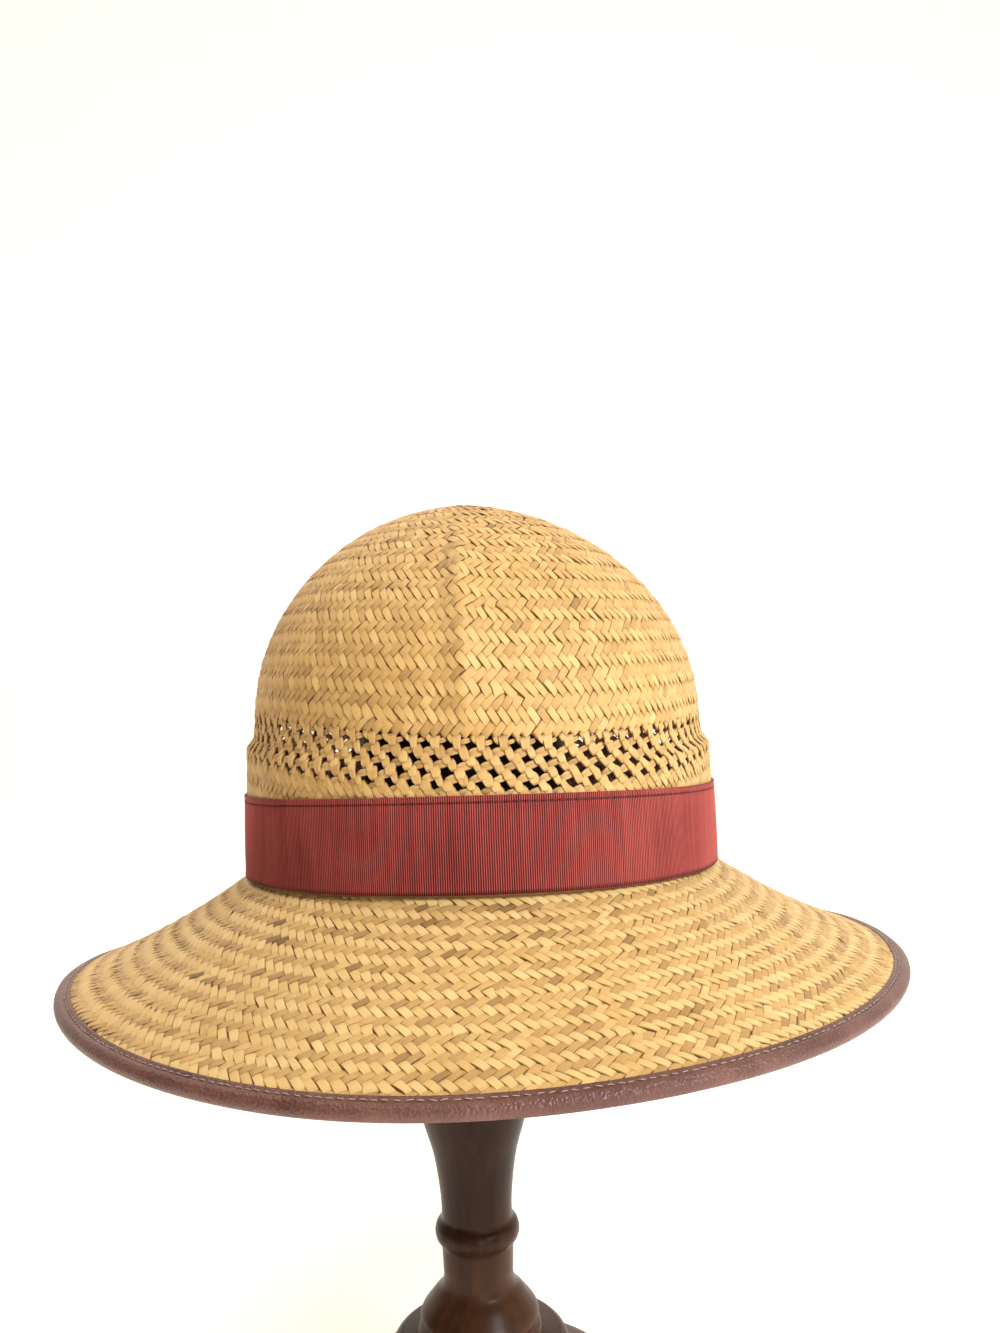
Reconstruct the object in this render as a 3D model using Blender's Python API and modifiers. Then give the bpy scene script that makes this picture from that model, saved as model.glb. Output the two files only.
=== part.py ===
"""Safari hat of woven palm straw, resting on a turned wooden stand.

The hat is an assembly of thin shells that follow one outline: a domed crown with
a ridge down its front, an openwork vent band, the crown's wall, a ribbon round
that wall, a sloping brim and a leather binding folded over the brim's edge.
The stand is three turned pieces: a base, a post and a tall rounded head that
holds the crown up from the inside.

Frame: metres, +Z up, the hat's front faces -Y. The origin is the centre of the
stand's underside.
"""
import math

import bmesh
import bpy
from mathutils import Vector

MM = 0.001
GAP = 0.3 * MM  # clearance between neighbouring pieces
WELD_DISTANCE = 0.01 * MM

# The hat's place on the stand: the mean level of the line where crown meets brim.
HAT_OFFSET_X = 6.7 * MM
HAT_LEVEL = 216.8 * MM

# Crown. Heights are above the mean join line, half sizes are of the outer face.
STRAW_THICKNESS = 1.8 * MM
JOIN_SADDLE = -2.0 * MM  # the join line is lower at the sides, higher front and back
VENT_TOP_HEIGHT = 50.2 * MM
VENT_TOP_SADDLE = 3.5 * MM  # the openwork's upper line is higher at the sides
VENT_TOP_TURN = math.radians(12.5)  # where its highest places lie, past the sides
VENT_TOP_LEAN = -1.1 * MM  # and it is higher on the left than on the right
VENT_HEIGHT = 14.4 * MM
CROWN_TOP = 131.6 * MM
CROWN_TOP_LEAN = -3.9 * MM  # sideways shift of the very top
DOME_TAPER = 1.09  # 1 is an ellipse, more is a slightly pointed dome
# Wall profile: depth below the openwork's upper line, half width, half length.
WALL_PROFILE = (
    (0.0 * MM, 81.2 * MM, 97.6 * MM),
    (7.0 * MM, 81.8 * MM, 98.2 * MM),
    (10.0 * MM, 84.3 * MM, 99.6 * MM),
    (24.0 * MM, 84.8 * MM, 99.9 * MM),
    (50.0 * MM, 85.3 * MM, 97.5 * MM),
)

# Ridge pressed down the front of the dome, as angles up the dome's curve.
RIDGE_HEIGHT = 3.0 * MM
RIDGE_HALF_ANGLE = math.radians(7.0)
RIDGE_FOOT = (math.radians(2.0), math.radians(11.0))
RIDGE_HEAD = (math.radians(52.0), math.radians(72.0))

# Openwork: strips cross in a diamond lattice with staggered holes.
VENT_THICKNESS = 1.6 * MM
VENT_COLUMNS = 52
VENT_ROWS = 4
VENT_RIM = 0.9 * MM  # plain edge above and below the lattice
STRIP_SHARE = 0.42  # part of each lattice cell that a crossing of strips covers

# Brim.
BRIM_HALF_WIDTH = 148.4 * MM
BRIM_HALF_LENGTH = 167.7 * MM
BRIM_SHIFT_Y = 6.0 * MM
RIM_DROP = 37.0 * MM  # below the mean join line
RIM_SADDLE = 3.5 * MM  # the rim is higher at the sides
RIM_TILT = 0.043  # the rim falls towards the back
RIM_WAVES = (  # rise, place round the rim, reach: it dips behind the left and lifts in front
    (-4.1 * MM, math.radians(157.0), math.radians(44.0)),
    (1.1 * MM, math.radians(-70.0), math.radians(38.0)),
)
BRIM_BOW = 0.09  # the brim drops a little faster near the crown
BRIM_RINGS = (0.0, 0.05, 0.2, 0.4, 0.62, 0.84, 1.0)

# Trimmings.
BINDING_WIDTH = 4.6 * MM
BINDING_THICKNESS = 1.0 * MM
RIBBON_WIDTH = 28.2 * MM
RIBBON_THICKNESS = 1.0 * MM
RIBBON_FOOT = 1.4 * MM  # the ribbon's lower edge above the join line
RIBBON_CLEARANCE = 0.45 * MM  # keeps the ribbon's flat facets off the straw

# Mesh resolution round the hat.
COLUMNS = 60
RIDGE_COLUMN_ANGLES = tuple(math.radians(a) for a in (0.0, 1.6, 3.6, 7.0))
DOME_PLAIN_COLUMNS = 48
DOME_RINGS = 9
TURNED_STEPS = 32

# Turned stand: radius and height of each profile point in millimetres, from the top down.
HEAD_RADIUS = 38.0 * MM
HEAD_SETTLE = 0.6 * MM  # the hat's flat facets hang this much below its true curve
HEAD_TOP = HAT_LEVEL + CROWN_TOP - STRAW_THICKNESS - HEAD_SETTLE
HEAD_FOOT = 181.1 * MM
HEAD_CHAMFER = (1.0, 3.0)  # inward and upward, at the head's lower edge
POST_PROFILE = (
    (0.0, 180.8), (37.0, 180.8), (37.8, 178.3), (36.2, 172.8), (31.4, 158.8), (26.6, 142.8),
    (22.2, 128.8), (18.6, 116.8), (15.9, 107.8), (14.3, 98.8), (13.2, 90.8), (13.0, 84.8),
    (14.4, 81.4), (15.7, 78.6), (15.7, 75.6), (14.4, 72.4), (13.5, 69.8), (13.5, 65.8),
    (13.0, 61.8), (14.0, 58.3), (16.8, 55.4), (19.4, 52.3), (21.6, 49.4), (22.1, 47.2),
    (21.4, 44.6), (23.2, 42.4), (23.2, 39.3), (0.0, 39.3),
)
BASE_PROFILE = (
    (0.0, 39.0), (30.5, 39.0), (32.5, 37.6), (33.0, 35.0), (33.0, 28.5), (36.0, 24.5),
    (42.0, 20.5), (50.0, 16.5), (58.0, 14.0), (61.0, 11.5), (62.0, 8.0), (62.0, 1.5),
    (60.5, 0.0), (0.0, 0.0),
)

FRONT = -math.pi / 2


def remove_everything():
    for thing in list(bpy.data.objects):
        bpy.data.objects.remove(thing, do_unlink=True)


def make_material(name, color, roughness):
    material = bpy.data.materials.new(name)
    material.use_nodes = True
    shader = material.node_tree.nodes["Principled BSDF"]
    shader.inputs["Base Color"].default_value = (*color, 1.0)
    shader.inputs["Roughness"].default_value = roughness
    shader.inputs["Metallic"].default_value = 0.0
    return material


def add_object(name, mesh, material, collection, parent=None):
    piece = bpy.data.objects.new(name, mesh)
    piece.data.materials.append(material)
    piece.parent = parent
    collection.objects.link(piece)
    return piece


def add_empty(name, place, collection):
    empty = bpy.data.objects.new(name, None)
    empty.location = place
    collection.objects.link(empty)
    return empty


def smooth_round(mesh, angle=40.0):
    mesh.shade_smooth()
    mesh.set_sharp_from_angle(angle=math.radians(angle))


def even_angles(count):
    return [FRONT + 2 * math.pi * i / count for i in range(count)]


def smoothstep(low, high, value):
    t = min(max((value - low) / (high - low), 0.0), 1.0)
    return t * t * (3.0 - 2.0 * t)


# --- the hat's outline ---------------------------------------------------------


def join_height(angle):
    """Height of the line where the crown's wall turns out into the brim."""
    return JOIN_SADDLE * math.cos(2 * angle)


def vent_top_height(angle):
    saddle = VENT_TOP_SADDLE * math.cos(2 * (angle - VENT_TOP_TURN))
    return VENT_TOP_HEIGHT + saddle + VENT_TOP_LEAN * math.cos(angle)


def vent_bottom_height(angle):
    return vent_top_height(angle) - VENT_HEIGHT


def wall_half_sizes(depth):
    """Half width and half length of the wall at a depth below the openwork's top."""
    for upper, lower in zip(WALL_PROFILE, WALL_PROFILE[1:]):
        if depth <= lower[0] or lower is WALL_PROFILE[-1]:
            t = (depth - upper[0]) / (lower[0] - upper[0])
            return tuple(upper[k] + t * (lower[k] - upper[k]) for k in (1, 2))


def wall_point(angle, height, outward=0.0):
    """Point on the wall's outer face, moved outward by a distance."""
    half_x, half_y = wall_half_sizes(vent_top_height(angle) - height)
    return Vector(((half_x + outward) * math.cos(angle), (half_y + outward) * math.sin(angle), height))


def ridge_height(angle, rise):
    """How far the front ridge stands out, at an angle round and an angle up."""
    off_centre = abs(math.remainder(angle - FRONT, 2 * math.pi)) / RIDGE_HALF_ANGLE
    if off_centre >= 1.0:
        return 0.0
    along = smoothstep(*RIDGE_FOOT, rise) * (1.0 - smoothstep(*RIDGE_HEAD, rise))
    return RIDGE_HEIGHT * along * (1.0 - off_centre) ** 1.5


def dome_point(angle, rise):
    """Point on the dome: a half ellipsoid whose foot follows the openwork's top."""
    foot = vent_top_height(angle) + GAP / 2
    _, half_x, half_y = WALL_PROFILE[0]
    out = ridge_height(angle, rise)
    height = foot + (CROWN_TOP - foot) * math.sin(rise)
    spread = math.cos(rise) ** DOME_TAPER
    return Vector((
        (half_x * spread + out) * math.cos(angle) + CROWN_TOP_LEAN * math.sin(rise) ** 3,
        (half_y * spread + out) * math.sin(angle),
        height + out * math.sin(rise),
    ))


def rim_height(angle, y):
    height = RIM_SADDLE * math.cos(2 * angle) - RIM_DROP - RIM_TILT * y
    for rise, place, reach in RIM_WAVES:
        off = min(abs(math.remainder(angle - place, 2 * math.pi)) / reach, 1.0)
        height += rise * math.cos(off * math.pi / 2) ** 2
    return height


def brim_point(angle, share):
    """Point on the brim's upper face; share is 0 at the crown and 1 at the edge."""
    _, half_x, half_y = WALL_PROFILE[-1]
    start = Vector((half_x * math.cos(angle), half_y * math.sin(angle), join_height(angle) - GAP))
    end = Vector((BRIM_HALF_WIDTH * math.cos(angle), BRIM_SHIFT_Y + BRIM_HALF_LENGTH * math.sin(angle), 0.0))
    end.z = rim_height(angle, end.y)
    point = start.lerp(end, share)
    point.z = start.z + (end.z - start.z) * (share + BRIM_BOW * math.sin(math.pi * share))
    return point


# --- mesh builders -----------------------------------------------------------------


def lofted_mesh(name, rings, pole=None):
    """Quads between closed rings of points, with an optional pole over the last ring."""
    bm = bmesh.new()
    loops = [[bm.verts.new(point) for point in ring] for ring in rings]
    for low, high in zip(loops, loops[1:]):
        for i in range(len(low)):
            j = (i + 1) % len(low)
            bm.faces.new((low[i], low[j], high[j], high[i]))
    if pole is not None:
        top = bm.verts.new(pole)
        last = loops[-1]
        for i in range(len(last)):
            bm.faces.new((last[i], last[(i + 1) % len(last)], top))
    mesh = bpy.data.meshes.new(name)
    bm.to_mesh(mesh)
    bm.free()
    smooth_round(mesh)
    return mesh


def add_shell(name, mesh, thickness, material, collection, parent):
    """An open surface given its wall, inward from the face that was modelled."""
    piece = add_object(name, mesh, material, collection, parent)
    wall = piece.modifiers.new("wall", "SOLIDIFY")
    wall.thickness = thickness
    wall.offset = -1.0
    wall.use_even_offset = True
    return piece


def add_turned(name, profile_mm, material, collection):
    """A turned piece: a profile of radius and height, from the top down, spun round Z."""
    mesh = bpy.data.meshes.new(name)
    points = [(radius * MM, 0.0, height * MM) for radius, height in profile_mm]
    mesh.from_pydata(points, [(i, i + 1) for i in range(len(points) - 1)], [])
    piece = add_object(name, mesh, material, collection)
    spin = piece.modifiers.new("spin", "SCREW")
    spin.axis = "Z"
    spin.angle = 2 * math.pi
    spin.steps = TURNED_STEPS
    spin.render_steps = TURNED_STEPS
    spin.use_merge_vertices = True
    spin.merge_threshold = WELD_DISTANCE
    spin.use_smooth_shade = True
    return piece


# --- the pieces ----------------------------------------------------------------------


def crown_dome(material, collection, parent):
    near = [FRONT + side * a for a in RIDGE_COLUMN_ANGLES for side in (1, -1) if a or side > 0]
    sweep = 2 * math.pi - 2 * RIDGE_HALF_ANGLE
    plain = [
        FRONT + RIDGE_HALF_ANGLE + sweep * i / DOME_PLAIN_COLUMNS for i in range(1, DOME_PLAIN_COLUMNS)
    ]
    angles = sorted(near + plain)
    rises = [math.pi / 2 * i / DOME_RINGS for i in range(DOME_RINGS)]
    rings = [[dome_point(angle, rise) for angle in angles] for rise in rises]
    mesh = lofted_mesh("crown_dome", rings, pole=(CROWN_TOP_LEAN, 0.0, CROWN_TOP))
    return add_shell("crown_dome", mesh, STRAW_THICKNESS, material, collection, parent)


def vent_lattice_mesh(name):
    """Crossings and strips of a diamond lattice between two plain rims.

    A crossing is a small diamond with corners west, east, south and north. Strips
    join the facing sides of neighbouring crossings, and what is left is the holes.
    """
    bm = bmesh.new()
    cell_x = 2 * math.pi / VENT_COLUMNS
    half_x = cell_x * STRIP_SHARE / 2
    pitch_z = (VENT_HEIGHT - 2 * VENT_RIM) / VENT_ROWS
    half_z = pitch_z * STRIP_SHARE

    def vertex(angle, drop):
        return bm.verts.new(wall_point(angle, vent_top_height(angle) - drop))

    half_columns = range(2 * VENT_COLUMNS)
    rim_drops = (GAP / 2, VENT_RIM, VENT_HEIGHT - VENT_RIM, VENT_HEIGHT)
    top, upper, lower, bottom = (
        [vertex(FRONT + cell_x * c / 2, drop) for c in half_columns] for drop in rim_drops
    )
    crossings = []
    for row in range(VENT_ROWS):
        drop = VENT_RIM + pitch_z * (row + 0.5)
        found = {}
        for c in half_columns:
            if (c + row) % 2:
                continue
            angle = FRONT + cell_x * c / 2
            top_row, bottom_row = row == 0, row == VENT_ROWS - 1
            found[c] = {
                "west": vertex(angle - half_x, drop),
                "east": vertex(angle + half_x, drop),
                "north": upper[c] if top_row else vertex(angle, drop - half_z),
                "south": lower[c] if bottom_row else vertex(angle, drop + half_z),
            }
        crossings.append(found)
    count = len(half_columns)
    for c in half_columns:
        after = (c + 1) % count
        bm.faces.new((upper[c], upper[after], top[after], top[c]))
        bm.faces.new((bottom[c], bottom[after], lower[after], lower[c]))
    for row, found in enumerate(crossings):
        for c, here in found.items():
            before, after = (c - 1) % count, (c + 1) % count
            bm.faces.new((here["west"], here["south"], here["east"], here["north"]))
            if row == 0:
                bm.faces.new((upper[before], here["west"], upper[c]))
                bm.faces.new((upper[c], here["east"], upper[after]))
            if row == VENT_ROWS - 1:
                bm.faces.new((lower[before], lower[c], here["west"]))
                bm.faces.new((lower[c], lower[after], here["east"]))
                continue
            left, right = crossings[row + 1][before], crossings[row + 1][after]
            bm.faces.new((here["south"], here["west"], left["north"], left["east"]))
            bm.faces.new((here["east"], here["south"], right["west"], right["north"]))
    mesh = bpy.data.meshes.new(name)
    bm.to_mesh(mesh)
    bm.free()
    smooth_round(mesh)
    return mesh


def vent_band(material, collection, parent):
    mesh = vent_lattice_mesh("vent_band")
    return add_shell("vent_band", mesh, VENT_THICKNESS, material, collection, parent)


def crown_wall(material, collection, parent):
    rings = []
    for share in (0.0, 0.4, 0.75, 1.0):
        ring = []
        for angle in even_angles(COLUMNS):
            low = join_height(angle) + GAP / 2
            high = vent_bottom_height(angle) - GAP
            ring.append(wall_point(angle, low + share * (high - low)))
        rings.append(ring)
    mesh = lofted_mesh("crown_wall", rings)
    return add_shell("crown_wall", mesh, STRAW_THICKNESS, material, collection, parent)


def hat_ribbon(material, collection, parent):
    stand_off = RIBBON_CLEARANCE + RIBBON_THICKNESS
    rings = []
    for share in (0.0, 0.5, 1.0):
        rings.append([
            wall_point(angle, join_height(angle) + RIBBON_FOOT + share * RIBBON_WIDTH, stand_off)
            for angle in even_angles(COLUMNS)
        ])
    mesh = lofted_mesh("hat_ribbon", rings)
    return add_shell("hat_ribbon", mesh, RIBBON_THICKNESS, material, collection, parent)


def brim(material, collection, parent):
    rings = [[brim_point(angle, share) for angle in even_angles(COLUMNS)] for share in reversed(BRIM_RINGS)]
    mesh = lofted_mesh("brim", rings)
    return add_shell("brim", mesh, STRAW_THICKNESS, material, collection, parent)


def brim_binding(material, collection, parent):
    """A folded strip: a U section carried round the brim's edge."""
    top, under = GAP, -STRAW_THICKNESS - GAP
    wall = BINDING_THICKNESS
    lip = -BINDING_WIDTH + GAP + wall
    nose = GAP + wall
    section = (  # distance past the straw's edge, height over the brim's upper face
        (lip, top), (GAP, top), (GAP, under), (lip, under), (lip, under - wall),
        (nose - wall / 2, under - wall), (nose, under), (nose, top), (nose - wall / 2, top + wall),
        (lip, top + wall),
    )
    rings = [[] for _ in section]
    step = math.radians(0.5)
    for angle in even_angles(COLUMNS):
        edge = brim_point(angle, 1.0)
        outward = (edge - brim_point(angle, BRIM_RINGS[-2])).normalized()
        along = brim_point(angle + step, 1.0) - brim_point(angle - step, 1.0)
        upward = outward.cross(along).normalized()
        outward = along.cross(upward).normalized()
        for ring, (past, over) in zip(rings, section):
            ring.append(edge + outward * past + upward * over)
    mesh = lofted_mesh("brim_binding", rings + rings[:1])
    bm = bmesh.new()
    bm.from_mesh(mesh)
    bmesh.ops.remove_doubles(bm, verts=bm.verts, dist=WELD_DISTANCE)
    bmesh.ops.recalc_face_normals(bm, faces=bm.faces)
    bm.to_mesh(mesh)
    bm.free()
    return add_object("brim_binding", mesh, material, collection, parent)


def stand_head_profile():
    """A tall plug with a rounded top, as radius and height in millimetres."""
    radius, top, foot = HEAD_RADIUS / MM, HEAD_TOP / MM, HEAD_FOOT / MM
    points = [(0.0, top)]
    for degrees in (15, 30, 45, 60, 75, 90):
        turn = math.radians(degrees)
        points.append((radius * math.sin(turn), top - radius * (1.0 - math.cos(turn))))
    inward, upward = HEAD_CHAMFER
    points += [(radius, foot + upward), (radius - inward, foot), (0.0, foot)]
    return points


def build():
    remove_everything()
    collection = bpy.data.collections.new("safari_hat")
    bpy.context.scene.collection.children.link(collection)
    straw = make_material("straw", (0.68, 0.43, 0.17), 0.62)
    ribbon = make_material("ribbon", (0.26, 0.03, 0.03), 0.55)
    leather = make_material("binding", (0.13, 0.06, 0.05), 0.48)
    wood = make_material("wood", (0.035, 0.018, 0.012), 0.38)

    seat = add_empty("hat_seat", (HAT_OFFSET_X, 0.0, HAT_LEVEL), collection)
    crown_dome(straw, collection, seat)
    vent_band(straw, collection, seat)
    crown_wall(straw, collection, seat)
    brim(straw, collection, seat)
    hat_ribbon(ribbon, collection, seat)
    brim_binding(leather, collection, seat)
    add_turned("stand_base", BASE_PROFILE, wood, collection)
    add_turned("stand_post", POST_PROFILE, wood, collection)
    add_turned("stand_head", stand_head_profile(), wood, collection)


build()
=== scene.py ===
# %% [markdown]
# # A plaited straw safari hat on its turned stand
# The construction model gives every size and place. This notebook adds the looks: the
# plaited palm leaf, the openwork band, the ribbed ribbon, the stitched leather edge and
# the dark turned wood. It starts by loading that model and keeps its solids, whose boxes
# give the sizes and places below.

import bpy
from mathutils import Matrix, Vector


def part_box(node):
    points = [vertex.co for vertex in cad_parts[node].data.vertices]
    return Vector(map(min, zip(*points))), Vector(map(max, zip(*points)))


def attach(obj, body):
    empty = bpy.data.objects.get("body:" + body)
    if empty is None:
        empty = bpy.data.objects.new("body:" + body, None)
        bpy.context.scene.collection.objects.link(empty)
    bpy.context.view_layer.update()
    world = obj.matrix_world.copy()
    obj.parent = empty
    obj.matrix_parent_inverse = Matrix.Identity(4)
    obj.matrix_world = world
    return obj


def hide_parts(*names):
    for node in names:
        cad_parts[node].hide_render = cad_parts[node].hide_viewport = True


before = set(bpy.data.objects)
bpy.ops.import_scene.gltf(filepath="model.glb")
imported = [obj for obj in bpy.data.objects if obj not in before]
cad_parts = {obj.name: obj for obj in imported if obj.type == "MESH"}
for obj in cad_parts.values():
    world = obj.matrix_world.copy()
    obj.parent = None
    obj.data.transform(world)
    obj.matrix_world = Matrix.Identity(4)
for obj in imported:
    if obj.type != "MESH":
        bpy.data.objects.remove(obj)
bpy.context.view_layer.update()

import math

import bpy
import numpy as np
from mathutils import Euler, Vector

MM = 0.001  # metres in a millimetre
FULL_TURN = 2 * math.pi
print("nodes:", sorted(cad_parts))

# %% [markdown]
# The view is a little above the brim and close to it, as if from an arm's length away,
# so the brim's front looks much larger than its back. A long lens from further off would
# flatten that. A camera in Blender looks along its own -Z: it is tipped up by 90 degrees
# to look level, then turned, and a small roll about its own axis leans the picture as a
# hand-held camera does.

# %% Camera
EYE = Vector((0.0325, -0.3932, 0.2740))
EYE_TURN, EYE_PITCH, EYE_ROLL = 2.52, 2.1, -1.82  # degrees
LENS, SENSOR = 37.08, 36.0  # millimetres

camera_data = bpy.data.cameras.new("camera")
camera_data.sensor_fit = "HORIZONTAL"
camera_data.sensor_width = SENSOR
camera_data.lens = LENS
camera_data.clip_start = 0.01
camera = bpy.data.objects.new("camera", camera_data)
turn = Euler((math.radians(90 + EYE_PITCH), 0, math.radians(EYE_TURN))).to_matrix()
roll = Euler((0, 0, math.radians(EYE_ROLL))).to_matrix()
camera.matrix_world = (turn @ roll).to_4x4()
camera.location = EYE
bpy.context.scene.collection.objects.link(camera)
bpy.context.scene.camera = camera
print("camera at", [round(v, 3) for v in EYE])

# %% [markdown]
# Soft light keeps straw golden. A strong, slightly cool lamp at the upper right gives the
# strands their relief, a warm one overhead and a warm one low in front fill it in, and a
# weak one on the right pales that side. Sun and point lamps would cast hard shadows, so
# these are area lamps, whose size sets how soft a shadow is.

# %% Lamps
HAT_MIDDLE = (0.0, 0.0, 0.26)
LAMPS = (  # name, place, width, power, colour
    ("key_lamp", (0.75, -0.75, 0.95), 0.4, 14.8, (0.88, 0.93, 1.0)),
    ("top_lamp", (-0.25, 0.0, 1.25), 0.45, 5.0, (1.0, 0.88, 0.7)),
    ("front_lamp", (0.4, -1.2, 0.35), 0.5, 2.8, (1.0, 0.92, 0.8)),
    ("side_lamp", (1.15, -0.15, 0.4), 0.7, 1.8, (0.8, 0.92, 1.0)),
)


def area_lamp(name, place, width, power, color):
    """A square lamp at a place, aimed at the hat: its -Z axis is turned to that line."""
    data = bpy.data.lights.new(name, "AREA")
    data.shape = "SQUARE"
    data.size = width
    data.energy = power
    data.color = color
    lamp = bpy.data.objects.new(name, data)
    lamp.location = place
    lamp.rotation_euler = (Vector(HAT_MIDDLE) - Vector(place)).to_track_quat("-Z", "Y").to_euler()
    bpy.context.scene.collection.objects.link(lamp)


for lamp_row in LAMPS:
    area_lamp(*lamp_row)
print(len(LAMPS), "lamps")

# %% [markdown]
# A finish in Blender is a net of small nodes. Drawn by hand it is easy to see but slow to
# repeat, so three helpers build it from code: one adds a node, one does a sum, and one
# blends two numbers. They serve the surround and every finish below.

# %% Shader nodes
def add_node(tree, kind, **values):
    """A node with its properties or its inputs' constants set by name."""
    node = tree.nodes.new(kind)
    for key, value in values.items():
        if hasattr(node, key):
            setattr(node, key, value)
        else:
            node.inputs[key.replace("_", " ")].default_value = value
    return node


def maths(tree, operation, first, second=None):
    """A Math node; each of its inputs is another node's output or a number."""
    node = add_node(tree, "ShaderNodeMath", operation=operation)
    for socket, value in zip(node.inputs, (first, second)):
        if value is None:
            continue
        if isinstance(value, (int, float)):
            socket.default_value = value
        else:
            tree.links.new(value, socket)
    return node.outputs[0]


def between(tree, factor, first, second):
    """The first number plus the factor times what the second has more: it goes from the
    first to the second as the factor goes from 0 to 1."""
    node = maths(tree, "MULTIPLY_ADD", factor, second - first).node
    node.inputs[2].default_value = first
    return node.outputs[0]


print("node helpers ready")

# %% [markdown]
# Around the hat is a warm glow, stronger on its right. A picture of a room could light it
# instead, but the room's shapes would show in the polished wood, and a plain slope of
# brightness from left to right doesn't have any. What is seen of the surround past the
# floor is a plain pale wall, so that every view has a pale backdrop.

# %% Surround
GLOW, GLOW_MIDDLE, GLOW_RIGHT = (1.0, 0.83, 0.58, 1.0), 0.15, 0.27
SEEN_WALL = (0.9, 0.89, 0.87, 1.0)

world = bpy.data.worlds.new("surround")
bpy.context.scene.world = world
world.use_nodes = True
tree = world.node_tree
glow = tree.nodes["Background"]
glow.inputs["Color"].default_value = GLOW
split = add_node(tree, "ShaderNodeSeparateXYZ")
tree.links.new(add_node(tree, "ShaderNodeTexCoord").outputs["Generated"], split.inputs[0])
tree.links.new(between(tree, split.outputs["X"], GLOW_MIDDLE, GLOW_RIGHT), glow.inputs["Strength"])
seen_wall = add_node(tree, "ShaderNodeBackground", Color=SEEN_WALL)
seen = add_node(tree, "ShaderNodeLightPath").outputs["Is Camera Ray"]
chosen = add_node(tree, "ShaderNodeMixShader")
for socket, source in zip(chosen.inputs, (seen, glow.outputs[0], seen_wall.outputs[0])):
    tree.links.new(source, socket)
tree.links.new(chosen.outputs[0], tree.nodes["World Output"].inputs["Surface"])
bpy.context.scene.view_settings.view_transform = "Standard"
print("surround of", len(tree.nodes), "nodes")

# %% [markdown]
# Every surface below is a grid worked out by numpy: a function of two parameters gives
# all its points at once, and the faces follow from the grid's shape. Blender's own
# operators could build such shapes step by step, but arrays are quicker for thousands of
# strands. Shapes are worked out in millimetres and stored in metres.

# %% Meshes from arrays
def mesh_object(name, points, face_sets, uv=None, attributes=None):
    """An object from points (n, 3) in millimetres and arrays of faces (m, corners).

    uv holds one pair for each point, and attributes maps a name to one value a point."""
    mesh = bpy.data.meshes.new(name)
    face_sets = face_sets if isinstance(face_sets, list) else [face_sets]
    points = np.ascontiguousarray(points.reshape(-1, 3) * MM, dtype=np.float32)
    corners = np.concatenate([faces.ravel() for faces in face_sets]).astype(np.int32)
    sizes = np.concatenate([np.full(len(faces), faces.shape[1]) for faces in face_sets])
    mesh.vertices.add(len(points))
    mesh.vertices.foreach_set("co", points.ravel())
    mesh.loops.add(len(corners))
    mesh.loops.foreach_set("vertex_index", corners)
    mesh.polygons.add(len(sizes))
    mesh.polygons.foreach_set("loop_start", (np.cumsum(sizes) - sizes).astype(np.int32))
    mesh.polygons.foreach_set("use_smooth", np.ones(len(sizes), dtype=bool))
    if uv is not None:
        layer = mesh.uv_layers.new(name="UVMap")
        layer.data.foreach_set("uv", uv.reshape(-1, 2)[corners].astype(np.float32).ravel())
    for key, values in (attributes or {}).items():
        layer = mesh.attributes.new(key, "FLOAT", "POINT")
        layer.data.foreach_set("value", values.astype(np.float32).ravel())
    mesh.update(calc_edges=True)
    mesh.validate()
    piece = bpy.data.objects.new(name, mesh)
    bpy.context.scene.collection.objects.link(piece)
    return piece


print("mesh helper ready")

# %% [markdown]
# Faces come from counting: in a grid stored row by row, the point above another is one
# row's length further on. Where the grid closes on itself, as round a hat, the count
# starts again at 0, so there is no seam to merge afterwards.

# %% Faces of a grid
def grid_faces(rows, columns, wrap_rows=False, wrap_columns=False):
    """Quads of a grid of points stored row by row, closed on itself where it wraps: each
    joins a point to the next in its row and to the two above them. They face along
    (next column) x (next row)."""
    r = np.arange(rows if wrap_rows else rows - 1)[:, None]
    c = np.arange(columns if wrap_columns else columns - 1)[None, :]
    r2, c2 = (r + 1) % rows, (c + 1) % columns
    quads = [r * columns + c, r * columns + c2, r2 * columns + c2, r2 * columns + c]
    return np.stack([np.broadcast_to(q, (len(r), c.shape[1])) for q in quads], -1).reshape(-1, 4)


def repeated_faces(faces, copies, step):
    """The same faces for many copies of a shape, each copy having its own step points."""
    return (faces[None] + (np.arange(copies) * step)[:, None, None]).reshape(-1, faces.shape[1])


def ring_caps(first, last, columns):
    """Two flat faces of many corners that close the first and the last ring of a grid."""
    ring = np.arange(columns)[None, :]
    return np.concatenate([first * columns + ring, last * columns + ring[:, ::-1]])


print("a closed ring of 3 rows by 8 columns has", len(grid_faces(3, 8, wrap_columns=True)), "faces")

# %% [markdown]
# Each piece ends in the same way: it gets its material, it is told which body it moves
# with, and it may take the place of a plain solid of the construction model. Numbers that
# are the same all over a surface are set on the shader itself, and only what varies gets
# nodes.

# %% Finishing a piece
def new_material(name, constants):
    """A material, with numbers and colours set on its shader's own sockets by name."""
    material = bpy.data.materials.new(name)
    material.use_nodes = True
    shader = material.node_tree.nodes["Principled BSDF"]
    for key, value in constants.items():
        shader.inputs[key].default_value = value
    return material, material.node_tree, shader


def finish_piece(piece, material, replaces=()):
    """Gives a piece its material and the body it rides on, and hides the construction
    model's solids that it stands for."""
    piece.data.materials.append(material)
    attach(piece, "root")
    if replaces:
        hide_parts(*replaces)
    print(f"{piece.name}: {len(piece.data.polygons)} faces")


print("finishing helpers ready")

# %% [markdown]
# A stage isn't part of the object. Two flat planes would leave a line where they meet, so
# one curved sheet makes the floor and the wall behind it: its profile runs flat, turns up
# through a quarter circle and rises. It glows a little, as a floor in a white room does.

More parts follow.
